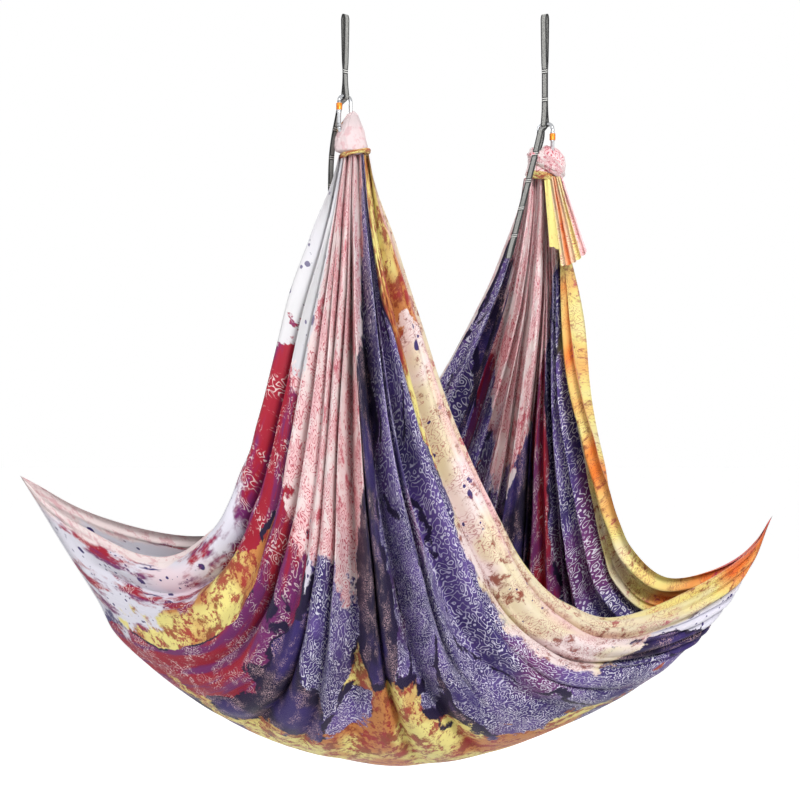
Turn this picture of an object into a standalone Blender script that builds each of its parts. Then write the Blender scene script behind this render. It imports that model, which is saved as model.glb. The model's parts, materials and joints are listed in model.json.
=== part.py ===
"""Aerial hammock: one wide cloth knotted on two screw-gate carabiners, on two pocketed webbing straps.

Metres, +Z up. The origin is midway between the two strap tops, X runs from the left strap
to the right one, and Y points away from the camera.
"""
import bpy
import bmesh
import math
import numpy as np
from mathutils import Matrix, Vector

# Overall sizes
HOOK_SPACING = 0.554
HANG_DROP = 2.075
SLING_SPAN = 2.09
LEFT_TIP_REACH = 1.179
TIP_RISE = 0.795
RIGHT_TIP_DROP = 0.108

# Webbing strap
WEBBING_WIDTH = 0.019
WEBBING_THICKNESS = 0.0015
TOP_LOOP = 0.158
POCKET_PITCH = 0.078
END_LOOP = 0.062
POCKET_COUNT = 6
TOP_LOOP_OPENING = 0.012
POCKET_OPENING = 0.009
END_LOOP_OPENING = 0.004
BAR_CLEARANCE = 0.0004
STRAP_STEP_OUT = 0.0195
STRAP_STEP_LENGTH = 0.015
TAIL_BEND = 0.012
LEFT_TAIL_LEAN_RUN = 0.13
RIGHT_TAIL_LEAN_RUN = 0.6
LEAN_FADE = 0.03

# Carabiner
CARABINER_LENGTH = 0.112
CARABINER_WIDTH = 0.058
BAR_DIAMETER = 0.011
NOSE_CORNER = 0.0155
SPINE_CORNER = 0.012
FOOT_CORNER = 0.0135
GATE_DIAMETER = 0.0104
THREAD_DIAMETER = 0.0126
THREAD_PITCH = 0.002
THREAD_RUN = 0.027
PIVOT_ABOVE_FOOT = 0.006
TONGUE_THICKNESS = 0.0036
TONGUE_WIDTH = 0.0088
NOSE_TONGUE_LENGTH = 0.0052
FIT_GAP = 0.0003
RIVET_DIAMETER = 0.003
RIVET_HEAD_DIAMETER = 0.0052
RIVET_HEAD_HEIGHT = 0.0008
CATCH_PIN_DIAMETER = 0.0022
CATCH_PIN_DEPTH = 0.0026
SLEEVE_DIAMETER = 0.0166
SLEEVE_LENGTH = 0.0185
SLEEVE_TOP_BELOW_NOSE = 0.0062
RIGHT_SLEEVE_LOWERED = 0.006
GRIP_DEPTH = 0.0005
GRIP_COUNT = 16
SPRING_BORE_DIAMETER = 0.0046
SPRING_WIRE_DIAMETER = 0.0006
SPRING_LENGTH = 0.012
SPRING_TURNS = 7
PLUNGER_LENGTH = 0.007

# Cloth
CLOTH_THICKNESS = 0.0012
SEAT_DEPTH = 0.21
EDGE_DEPTH = 0.05
NECK_FOLD_DEPTH = 0.016
FOLD_DEPTH = 0.045
KNOT_GAP = 0.0004
KNOT_DEPTH = 0.076
LEFT_KNOT_HEIGHT = 0.124
LEFT_KNOT_WIDTH = 0.096
LEFT_NECK_WIDTH = 0.082
LEFT_NECK_SHIFT = 0.026
RIGHT_KNOT_HEIGHT = 0.092
RIGHT_KNOT_WIDTH = 0.112
RIGHT_NECK_WIDTH = 0.074
RIGHT_NECK_SHIFT = -0.022
TAIL_LENGTH = 0.232
TAIL_TOP_WIDTH = 0.05
TAIL_BOTTOM_WIDTH = 0.104
TAIL_TOP_SHIFT = 0.0195
TAIL_BOTTOM_SHIFT = 0.061
TAIL_FRONT = 0.028
TAIL_PLEAT_DEPTH = 0.007

# Which pocket each carabiner is clipped in, counted from the top
LEFT_CLIP_COUNT = 1
RIGHT_CLIP_COUNT = 2

# Turns about the vertical
LEFT_TURN = math.radians(230)
RIGHT_TURN = math.radians(-40)

# Lean of the strap tails, as a slope
LEFT_TAIL_LEAN_SHARE = 0.3
RIGHT_TAIL_LEAN_SHARE = 0.42

# Where the strap crosses the carabiner's top bar, as a share of its width
BAR_HOLE_STRETCH_SHARE = 1.12
LEFT_STRAP_SHARE = 0.47
RIGHT_STRAP_SHARE = 0.46

# Selvedges from the neck (0, 0) to the tip (1, 1), as shares across and down
FRONT_LEFT_SHARES = [(0, 0), (0.03, 0.13), (0.06, 0.31), (0.11, 0.54), (0.19, 0.82), (0.26, 0.97),
                     (0.34, 1.1), (0.49, 1.22), (0.62, 1.23), (0.78, 1.16), (0.91, 1.08), (1, 1)]
FRONT_RIGHT_SHARES = [(0, 0), (0.02, 0.12), (0.07, 0.4), (0.13, 0.62), (0.21, 0.83), (0.37, 1.14),
                      (0.51, 1.25), (0.62, 1.27), (0.79, 1.2), (0.94, 1.09), (1, 1)]
BACK_LEFT_SHARES = [(0, 0), (0.01, 0.1), (0.04, 0.27), (0.07, 0.39), (0.15, 0.64), (0.22, 0.81),
                    (0.3, 0.94), (0.42, 1.09), (0.54, 1.18), (0.68, 1.21), (0.84, 1.14), (1, 1)]
BACK_RIGHT_SHARES = [(0, 0), (0.05, 0.22), (0.11, 0.54), (0.19, 0.75), (0.31, 1.01), (0.38, 1.11),
                     (0.53, 1.19), (0.73, 1.17), (0.89, 1.1), (1, 1)]

# Bottom outline of the seat, from the left tip to the right one
KEEL_SHARES = [(0, 0), (0.04, 0.16), (0.1, 0.4), (0.14, 0.56), (0.25, 0.78), (0.37, 0.93), (0.51, 1),
               (0.66, 0.95), (0.79, 0.8), (0.86, 0.68), (0.92, 0.52), (0.97, 0.33), (1, 0.14)]

# Main folds across each leaf: valleys from selvedge to selvedge, then how high and how leaning
# the folds are beside each valley
FOLD_PLACE_SHARES = [0, 0.07, 0.21, 0.33, 0.455, 0.6, 0.74, 0.87, 1]
FRONT_HEIGHT_SHARES = [0.8, 1.05, 0.85, 1.1, 1.15, 0.9, 1.05, 0.85, 0.8]
FRONT_LEAN_SHARES = [0.5, 0.8, 0.6, 0.9, -0.9, -0.7, -0.9, -0.6, -0.4]
BACK_HEIGHT_SHARES = [0.8, 0.95, 1.1, 0.9, 1.05, 1.15, 0.85, 1, 0.8]
BACK_LEAN_SHARES = [0.4, 0.7, 0.9, 0.6, 0.8, -0.8, -0.6, -0.9, -0.5]
FOLD_RISE_SHARE = 0.4
FOLD_ROUND_SHARE = 0.006
HEM_FOLD_SHARE = 0.3
HEM_EDGE_SHARE = 0.05

# Where the folds turn outward, open and fade, as shares of the way from the neck to the keel
OUTWARD_SHARE = 0.12
FOLD_OPEN_SHARE = 0.28
FOLD_FADE_SHARES = (0.4, 0.99)
LEAN_OPEN_SHARE = 0.2
LEAN_FADE_SHARES = (0.5, 0.95)

# Knots from top to bottom: height, middle and half width
LEFT_KNOT_SHARES = [(1, 0.19, 0.08), (0.95, 0.18, 0.16), (0.82, 0.2, 0.24), (0.66, 0.19, 0.33),
                    (0.48, 0.18, 0.42), (0.3, 0.18, 0.48), (0.14, 0.18, 0.48), (0, 0.22, 0.43)]
RIGHT_KNOT_SHARES = [(1, 0.03, 0.1), (0.95, 0.05, 0.2), (0.84, 0.07, 0.3), (0.62, 0.07, 0.38),
                     (0.38, 0.05, 0.43), (0.2, 0, 0.46), (0.08, -0.04, 0.47), (0, -0.06, 0.45)]
KNOT_FOLD_SHARE = 0.07
KNOT_FOLD_COUNT = 5
KNOT_TWIST = math.radians(95)

# Resolution
FOLD_COLUMNS = 4
LEAF_ROW_SHARES = [0, 0.08, 0.22, 0.38, 0.52, 0.64, 0.76, 0.88, 1]
KNOT_SIDES = 28
BAR_SIDES = 14
ROUND_SIDES = 32
POCKET_STEPS = 7
TAIL_COLUMNS = 16
TAIL_ROWS = 6


def clear_scene():
    for old in list(bpy.data.objects):
        bpy.data.objects.remove(old, do_unlink=True)


def material(name, colour, roughness, metallic=0.0):
    made = bpy.data.materials.new(name)
    made.use_nodes = True
    shader = made.node_tree.nodes["Principled BSDF"]
    shader.inputs["Base Color"].default_value = (*colour, 1.0)
    shader.inputs["Roughness"].default_value = roughness
    shader.inputs["Metallic"].default_value = metallic
    return made


def add_object(name, data, finish=None, parent=None, place=(0, 0, 0)):
    made = bpy.data.objects.new(name, data)
    bpy.context.scene.collection.objects.link(made)
    made.location = place
    if parent is not None:
        made.parent = parent
    if finish is not None:
        made.data.materials.append(material(name + "_finish", *finish))
    return made


def mesh_from(name, points, faces, smooth=True):
    mesh = bpy.data.meshes.new(name)
    mesh.from_pydata([tuple(p) for p in points], [], faces)
    shell = bmesh.new()
    shell.from_mesh(mesh)
    bmesh.ops.recalc_face_normals(shell, faces=shell.faces)
    shell.to_mesh(mesh)
    shell.free()
    if smooth:
        mesh.shade_smooth()
        mesh.set_sharp_from_angle(angle=math.radians(35))
    return mesh


def rings_to_mesh(name, rings, closed=False):
    """Skin a list of equal rings; the ends are capped, or joined when closed."""
    points = [p for ring in rings for p in ring]
    count = len(rings[0])
    faces = []
    spans = len(rings) if closed else len(rings) - 1
    for i in range(spans):
        low = i * count
        high = ((i + 1) % len(rings)) * count
        for j in range(count):
            k = (j + 1) % count
            faces.append((low + j, low + k, high + k, high + j))
    if not closed:
        faces.append(tuple(range(count))[::-1])
        faces.append(tuple(range((len(rings) - 1) * count, len(rings) * count)))
    return mesh_from(name, points, faces)


def tube_mesh(name, path, radius, sides=BAR_SIDES, end_way=None):
    """A round bar along a path, with ends square to it, or to end_way where that is given."""
    path = [Vector(p) for p in path]
    rings = []
    side = None
    for i, here in enumerate(path):
        ahead = path[min(i + 1, len(path) - 1)]
        behind = path[max(i - 1, 0)]
        along = (ahead - behind).normalized()
        if end_way is not None and i in (0, len(path) - 1):
            along = Vector(end_way)
        if side is None:
            side = along.orthogonal().normalized()
        side = (side - along * side.dot(along)).normalized()
        other = along.cross(side)
        turns = [math.tau * j / sides for j in range(sides)]
        rings.append([here + (side * math.cos(a) + other * math.sin(a)) * radius for a in turns])
    return rings_to_mesh(name, rings)


def turned_mesh(name, profile, sides=ROUND_SIDES, bore=False, grip=0.0):
    """Turn (radius, height) points about Z; a bored profile is a closed outline."""
    rings = []
    for radius, height in profile:
        ring = []
        for j in range(sides):
            turn = math.tau * j / sides
            reach = radius - (grip if grip and j % 2 else 0.0)
            ring.append(Vector((reach * math.cos(turn), reach * math.sin(turn), height)))
        rings.append(ring)
    return rings_to_mesh(name, rings, closed=bore)


def outline_curve(name, outlines, depth):
    """A flat filled outline in X and Y, with its holes, given a depth along Z."""
    curve = bpy.data.curves.new(name, "CURVE")
    curve.dimensions = "2D"
    curve.fill_mode = "BOTH"
    curve.extrude = depth / 2
    for outline in outlines:
        spline = curve.splines.new("POLY")
        spline.points.add(len(outline) - 1)
        for point, place in zip(spline.points, outline):
            point.co = (place[0], place[1], 0, 1)
        spline.use_cyclic_u = True
    return curve


def outline_mesh(name, outlines, depth):
    """The same filled outline as a mesh, for cuts and unions."""
    shape = bpy.data.objects.new(name, outline_curve(name, outlines, depth))
    bpy.context.scene.collection.objects.link(shape)
    bpy.context.view_layer.update()
    mesh = bpy.data.meshes.new_from_object(shape.evaluated_get(bpy.context.evaluated_depsgraph_get()))
    bpy.data.objects.remove(shape, do_unlink=True)
    joined = bmesh.new()
    joined.from_mesh(mesh)
    bmesh.ops.remove_doubles(joined, verts=joined.verts, dist=FIT_GAP / 30)
    bmesh.ops.recalc_face_normals(joined, faces=joined.faces)
    joined.to_mesh(mesh)
    joined.free()
    return mesh


def boolean(target, other, operation="DIFFERENCE"):
    other.hide_render = True
    other.display_type = "WIRE"
    cut = target.modifiers.new(operation.title(), "BOOLEAN")
    cut.operation = operation
    cut.solver = "EXACT"
    cut.object = other


def box_mesh(name, low, high):
    points = [(x, y, z) for z in (low[2], high[2]) for y in (low[1], high[1]) for x in (low[0], high[0])]
    faces = [(0, 2, 3, 1), (4, 5, 7, 6), (0, 1, 5, 4), (2, 6, 7, 3), (0, 4, 6, 2), (1, 3, 7, 5)]
    return mesh_from(name, points, faces, smooth=False)


def arc(centre, radius, start, end, steps):
    turns = [start + (end - start) * i / steps for i in range(steps + 1)]
    return [(centre[0] + radius * math.cos(t), centre[1] + radius * math.sin(t)) for t in turns]


# Carabiner layout, in its own frame: X from the spine's middle to the gate, Z up from the foot's middle
BAR_RADIUS = BAR_DIAMETER / 2
GATE_X = CARABINER_WIDTH - BAR_DIAMETER
TOP_Z = CARABINER_LENGTH - BAR_DIAMETER
NOSE_Z = TOP_Z - NOSE_CORNER
FOOT_Z = FOOT_CORNER
PIVOT_Z = FOOT_Z + PIVOT_ABOVE_FOOT
TONGUE_RADIUS = TONGUE_WIDTH / 2
CATCH_Z = NOSE_Z - CATCH_PIN_DEPTH
SLEEVE_TOP_Z = NOSE_Z - SLEEVE_TOP_BELOW_NOSE


def carabiner_path():
    """The bar's middle line, from the nose over the top, down the spine and round to the hinge."""
    quarter = math.pi / 2
    path = [(GATE_X, NOSE_Z)]
    path += arc((GATE_X - NOSE_CORNER, NOSE_Z), NOSE_CORNER, 0, quarter, 7)[1:]
    path += arc((SPINE_CORNER, TOP_Z - SPINE_CORNER), SPINE_CORNER, quarter, 2 * quarter, 8)
    path += arc((FOOT_CORNER, FOOT_CORNER), FOOT_CORNER, 2 * quarter, 3 * quarter, 7)
    path += arc((GATE_X - FOOT_CORNER, FOOT_CORNER), FOOT_CORNER, 3 * quarter, 4 * quarter, 7)
    return [(x, 0, z) for x, z in path]


def make_frame(side, holder):
    bar = tube_mesh("bar", carabiner_path(), BAR_RADIUS, end_way=(0, 0, 1))
    frame = add_object(side + "_carabiner_frame", bar, ((0.72, 0.73, 0.74), 0.25, 1.0), holder)
    upright = Matrix.Rotation(math.pi / 2, 4, "X")
    foot_reach = FOOT_Z - BAR_RADIUS
    hinge = [(-TONGUE_RADIUS, foot_reach), (TONGUE_RADIUS, foot_reach)]
    hinge += arc((0, PIVOT_Z), TONGUE_RADIUS, 0, math.pi, 10)
    hole = arc((0, PIVOT_Z), RIVET_DIAMETER / 2 + FIT_GAP, 0, math.tau, 16)[:-1]
    tongue = add_object(side + "_hinge_tongue", outline_mesh("tongue", [hinge, hole], TONGUE_THICKNESS),
                        None, holder, (GATE_X, 0, 0))
    tongue.matrix_local = Matrix.Translation((GATE_X, 0, 0)) @ upright
    boolean(frame, tongue, "UNION")
    pin_reach = CATCH_PIN_DIAMETER / 2 + FIT_GAP
    nose_root = NOSE_Z + BAR_RADIUS
    nose_end = NOSE_Z - NOSE_TONGUE_LENGTH
    nose = [(-TONGUE_RADIUS, nose_root), (-TONGUE_RADIUS, CATCH_Z + pin_reach)]
    nose += arc((0, CATCH_Z), pin_reach, math.pi / 2, -math.pi / 2, 8)
    nose += [(-TONGUE_RADIUS, CATCH_Z - pin_reach), (-TONGUE_RADIUS, nose_end),
             (TONGUE_RADIUS, nose_end), (TONGUE_RADIUS, nose_root)]
    claw = add_object(side + "_nose_tongue", outline_mesh("claw", [nose], TONGUE_THICKNESS), None, holder)
    claw.matrix_local = Matrix.Translation((GATE_X, 0, 0)) @ upright
    boolean(frame, claw, "UNION")
    return frame


def make_gate(side, holder):
    """The gate bar with its thread, its fork over the hinge and its slot under the nose."""
    bar = GATE_DIAMETER / 2
    thread = THREAD_DIAMETER / 2
    thread_top = SLEEVE_TOP_Z
    thread_low = thread_top - THREAD_RUN
    fork = TONGUE_RADIUS
    profile = [(bar, PIVOT_Z - fork), (bar, thread_low - THREAD_PITCH)]
    turns = int(THREAD_RUN / THREAD_PITCH)
    for i in range(turns):
        base = thread_low + i * THREAD_PITCH
        profile += [(bar, base), (thread, base + THREAD_PITCH * 0.3), (thread, base + THREAD_PITCH * 0.6)]
    profile += [(bar, thread_top), (bar, NOSE_Z - FIT_GAP)]
    gate = add_object(side + "_gate", turned_mesh("gate", [(r, z - PIVOT_Z) for r, z in profile], 20),
                      ((0.74, 0.75, 0.76), 0.28, 1.0), holder, (GATE_X, 0, PIVOT_Z))
    half_slot = TONGUE_THICKNESS / 2 + FIT_GAP
    reach = GATE_DIAMETER
    low = add_object(side + "_fork_slot", box_mesh("slot", (-reach, -half_slot, -reach),
                     (reach, half_slot, fork + FIT_GAP)), None, gate)
    high = add_object(side + "_nose_slot", box_mesh("slot", (-reach, -half_slot,
                      NOSE_Z - PIVOT_Z - NOSE_TONGUE_LENGTH - FIT_GAP),
                      (reach, half_slot, NOSE_Z - PIVOT_Z + reach)), None, gate)
    lying = Matrix.Rotation(math.pi / 2, 4, "X")
    hole = cylinder(side + "_rivet_hole", RIVET_DIAMETER / 2 + FIT_GAP, reach, gate)
    hole.matrix_local = lying
    catch = cylinder(side + "_catch_hole", CATCH_PIN_DIAMETER / 2 + FIT_GAP, reach, gate)
    catch.matrix_local = Matrix.Translation((0, 0, CATCH_Z - PIVOT_Z)) @ lying
    well = fork + PLUNGER_LENGTH + SPRING_LENGTH + 2 * FIT_GAP
    bore = cylinder(side + "_spring_bore", SPRING_BORE_DIAMETER / 2, well / 2, gate)
    bore.location = (0, 0, well / 2)
    for cutter in (low, high, hole, catch, bore):
        boolean(gate, cutter)
    return gate


def cylinder(name, radius, half_length, parent, sides=16):
    profile = [(radius, -half_length), (radius, half_length)]
    return add_object(name, turned_mesh(name, profile, sides), None, parent)


def make_rivet(side, holder):
    shank = RIVET_DIAMETER / 2
    head = RIVET_HEAD_DIAMETER / 2
    face = GATE_DIAMETER / 2 + FIT_GAP
    top = face + RIVET_HEAD_HEIGHT
    profile = [(head * 0.6, -top), (head, -top + RIVET_HEAD_HEIGHT / 2), (head, -face), (shank, -face),
               (shank, face), (head, face), (head, top - RIVET_HEAD_HEIGHT / 2), (head * 0.6, top)]
    rivet = add_object(side + "_gate_rivet", turned_mesh("rivet", profile, 16),
                       ((0.6, 0.6, 0.62), 0.3, 1.0), holder)
    rivet.matrix_local = Matrix.Translation((GATE_X, 0, PIVOT_Z)) @ Matrix.Rotation(math.pi / 2, 4, "X")
    return rivet


def make_catch_pin(side, gate):
    """The pin across the gate's slot that the nose hooks over."""
    half = math.sqrt((GATE_DIAMETER / 2) ** 2 - (CATCH_PIN_DIAMETER / 2) ** 2) - FIT_GAP
    pin = cylinder(side + "_catch_pin", CATCH_PIN_DIAMETER / 2, half, gate)
    pin.data.materials.append(material(side + "_catch_pin_finish", (0.6, 0.6, 0.62), 0.3, 1.0))
    pin.matrix_local = Matrix.Translation((0, 0, CATCH_Z - PIVOT_Z)) @ Matrix.Rotation(math.pi / 2, 4, "X")
    return pin


def make_plunger(side, gate):
    radius = SPRING_BORE_DIAMETER / 2 - FIT_GAP
    base = TONGUE_RADIUS + FIT_GAP
    top = base + PLUNGER_LENGTH - FIT_GAP
    profile = [(radius * 0.7, base), (radius, base + radius * 0.4), (radius, top)]
    return add_object(side + "_spring_plunger", turned_mesh("plunger", profile, 14),
                      ((0.55, 0.55, 0.57), 0.35, 1.0), gate)


def make_spring(side, gate):
    wire = SPRING_WIRE_DIAMETER / 2
    coil = SPRING_BORE_DIAMETER / 2 - FIT_GAP - wire
    base = TONGUE_RADIUS + PLUNGER_LENGTH + FIT_GAP + wire
    run = SPRING_LENGTH - 2 * wire - FIT_GAP
    points = SPRING_TURNS * 9
    path = []
    for i in range(points + 1):
        turn = math.tau * SPRING_TURNS * i / points
        path.append((coil * math.cos(turn), coil * math.sin(turn), base + run * i / points))
    return add_object(side + "_gate_spring", tube_mesh("spring", path, wire, 5),
                      ((0.5, 0.5, 0.52), 0.3, 1.0), gate)


def sleeve_drop(side):
    return RIGHT_SLEEVE_LOWERED if side == "right" else 0.0


def make_sleeve(side, gate):
    outer = SLEEVE_DIAMETER / 2
    inner = THREAD_DIAMETER / 2 + FIT_GAP
    top = SLEEVE_TOP_Z - PIVOT_Z - sleeve_drop(side)
    low = top - SLEEVE_LENGTH
    rim = SLEEVE_LENGTH / 8
    profile = [(inner, low), (outer - GRIP_DEPTH, low), (outer, low + rim / 2), (outer, low + rim),
               (outer, top - rim), (outer, top - rim / 2), (outer - GRIP_DEPTH, top), (inner, top)]
    sleeve = add_object(side + "_lock_sleeve", turned_mesh("sleeve", profile, 2 * GRIP_COUNT, True),
                        ((0.75, 0.25, 0.02), 0.4, 0.6), gate)
    for point in sleeve.data.vertices:
        reach = math.hypot(point.co.x, point.co.y)
        ridge = round(math.atan2(point.co.y, point.co.x) / math.tau * 2 * GRIP_COUNT) % 2
        if ridge and reach > outer - GRIP_DEPTH / 2 and low + rim * 0.9 < point.co.z < top - rim * 0.9:
            point.co.x *= (outer - GRIP_DEPTH) / outer
            point.co.y *= (outer - GRIP_DEPTH) / outer
    return sleeve


def fade(values, low, high):
    """0 below low, 1 above high and a soft step between."""
    share = np.clip((np.asarray(values) - low) / (high - low), 0, 1)
    return share * share * (3 - 2 * share)


def make_strap(side, holder, clip_pocket, strap_share, lean, lean_run, open_pocket):
    """Two layers of webbing, parted at the top loop, round the carabiner's bar and at the end loop."""
    layer = WEBBING_THICKNESS
    tacks = [TOP_LOOP + i * POCKET_PITCH for i in range(POCKET_COUNT + 1)]
    length = tacks[-1] + END_LOOP
    bar_hold = BAR_RADIUS + BAR_CLEARANCE
    bar_reach = bar_hold * BAR_HOLE_STRETCH_SHARE
    bar_run = tacks[clip_pocket] - bar_reach - layer
    sections = [(0, TOP_LOOP, TOP_LOOP_OPENING / 2, "loop")]
    for i in range(POCKET_COUNT):
        start = tacks[i] + (FIT_GAP if i == 0 else 0.0)
        kind = "flat"
        if i + 1 == clip_pocket:
            kind = "bar"
        if i + 1 == open_pocket:
            kind = "open"
        sections.append((start, tacks[i + 1], 0, kind))
    sections.append((tacks[-1], length, END_LOOP_OPENING / 2, "loop_end"))

    def middle(run):
        """Sideways place and height of the strap's middle line at a distance along it."""
        past = run - tacks[clip_pocket] + 2 * layer
        out = STRAP_STEP_OUT * fade(past, 0, STRAP_STEP_LENGTH)
        below = max(past - STRAP_STEP_LENGTH / 2, 0.0)
        below -= LEAN_FADE * math.log1p(math.exp((below - lean_run) / LEAN_FADE))
        below = max(below, 0.0)
        bend = lean * (below - TAIL_BEND * (1 - math.exp(-below / TAIL_BEND)))
        return Vector((-(out + bend), -run))

    def gaps(run, kind, start, end, opening):
        """Half openings to the front and to the back of the middle line."""
        share = (run - start) / (end - start)
        if kind == "loop":
            return (opening * math.sqrt(max(1 - share, 0.0)) * min(1.0, share * 12) ** 0.5,) * 2
        if kind == "loop_end":
            return (opening * math.sin(math.pi * share) ** 0.7,) * 2
        if kind == "bar":
            reach = (run - bar_run) / bar_reach
            near = max(1 - reach * reach, 0.0) ** 0.5
            above = max(bar_run - run, 0.0) / (bar_run - start)
            wide = max(near, (1 - above) ** 2.2 if run < bar_run else 0.0)
            return (bar_hold * wide, bar_hold * wide)
        if kind == "open":
            swell = math.sin(math.pi * share) ** 0.8
            return (POCKET_OPENING * swell, 0.15 * POCKET_OPENING * swell)
        return (0.0, 0.0)

    for name, pieces in ((side + "_top_loop", sections[:1]), (side + "_strap", sections[1:])):
        outlines = webbing_outlines(pieces, middle, gaps, bar_run, bar_reach)
        strap = add_object(name, outline_curve(name, outlines, WEBBING_WIDTH),
                           ((0.2, 0.2, 0.19), 0.85, 0.0), holder)
        # the outline's X runs along the carabiner's thickness, its Y runs up and its depth along the bar
        strap.matrix_local = Matrix(((0, 0, 1, strap_share * GATE_X), (1, 0, 0, 0),
                                     (0, 1, 0, TOP_Z + bar_run), (0, 0, 0, 1)))
    return bar_run


def webbing_outlines(sections, middle, gaps, bar_run, bar_reach):
    """The outer outline of a stretch of doubled webbing, then its openings."""
    layer = WEBBING_THICKNESS
    front, back, holes = [], [], []
    for start, end, opening, kind in sections:
        steps = POCKET_STEPS if kind in ("flat", "open") else 2 * POCKET_STEPS
        if kind == "bar":
            runs = list(np.linspace(start, bar_run - bar_reach, POCKET_STEPS + 1))
            runs += list(bar_run - bar_reach * np.cos(np.linspace(0, math.pi, POCKET_STEPS + 3)))[1:]
            runs.append(end)
        elif kind == "loop":
            runs = [start, start + layer] + list(start + (end - start) * np.linspace(0, 1, steps)[2:] ** 2)
        elif 0 < start - bar_run < 2 * bar_reach:
            # the strap steps aside just under the bar
            runs = list(np.linspace(start, start + STRAP_STEP_LENGTH, POCKET_STEPS))
            runs += list(np.linspace(runs[-1], end, POCKET_STEPS + 1))[1:]
        else:
            runs = list(np.linspace(start, end, steps + 1))
        hole_front, hole_back = [], []
        for run in runs:
            ahead, behind = middle(run + layer), middle(run - layer)
            along = (ahead - behind).normalized()
            across = Vector((-along.y, along.x))
            gap_front, gap_back = gaps(run, kind, start, end, opening)
            centre = middle(run)
            if run > start or not front:
                front.append(centre + across * (gap_front + layer))
                back.append(centre - across * (gap_back + layer))
            if kind != "flat" and start < run < end and gap_front + gap_back > layer / 3:
                hole_front.append(centre + across * gap_front)
                hole_back.append(centre - across * gap_back)
        if hole_front:
            holes.append(hole_front + hole_back[::-1])
    return [front + back[::-1]] + holes


def make_carabiner(side, turn, clip_pocket, strap_share, lean, lean_run, open_pocket):
    """One side's strap and carabiner, hung with the strap's top on the hook line."""
    holder = bpy.data.objects.new(side + "_carabiner_place", None)
    bpy.context.scene.collection.objects.link(holder)
    bar_run = make_strap(side, holder, clip_pocket, strap_share, lean, lean_run, open_pocket)
    hook_x = HOOK_SPACING / 2 * (-1 if side == "left" else 1)
    shift = strap_share * GATE_X
    holder.rotation_euler = (0, 0, turn)
    holder.location = (hook_x - shift * math.cos(turn), -shift * math.sin(turn), -(bar_run + TOP_Z))
    make_frame(side, holder)
    gate = make_gate(side, holder)
    make_rivet(side, holder)
    make_catch_pin(side, gate)
    make_plunger(side, gate)
    make_spring(side, gate)
    make_sleeve(side, gate)
    return holder


def smooth_curve(table, shares):
    """Read a smooth curve through hand-placed points at shares of the distance along it."""
    points = np.array(table, dtype=float)
    padded = np.vstack([2 * points[0] - points[1], points, 2 * points[-1] - points[-2]])
    fine = []
    for i in range(1, len(padded) - 2):
        a, b, c, d = padded[i - 1], padded[i], padded[i + 1], padded[i + 2]
        for t in np.linspace(0, 1, 24, endpoint=False):
            fine.append(0.5 * (2 * b + (c - a) * t + (2 * a - 5 * b + 4 * c - d) * t ** 2
                               + (3 * b - a - 3 * c + d) * t ** 3))
    fine.append(points[-1])
    fine = np.array(fine)
    steps = np.hypot(*np.diff(fine, axis=0).T)
    run = np.concatenate([[0], np.cumsum(steps)])
    want = run[-1] * np.array(shares)
    return np.column_stack([np.interp(want, run, fine[:, k]) for k in (0, 1)])


def selvedge(shares, neck, tip):
    table = [(neck[0] + x * (tip[0] - neck[0]), neck[1] + z * (tip[1] - neck[1])) for x, z in shares]
    return smooth_curve(table, LEAF_ROW_SHARES)


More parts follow.
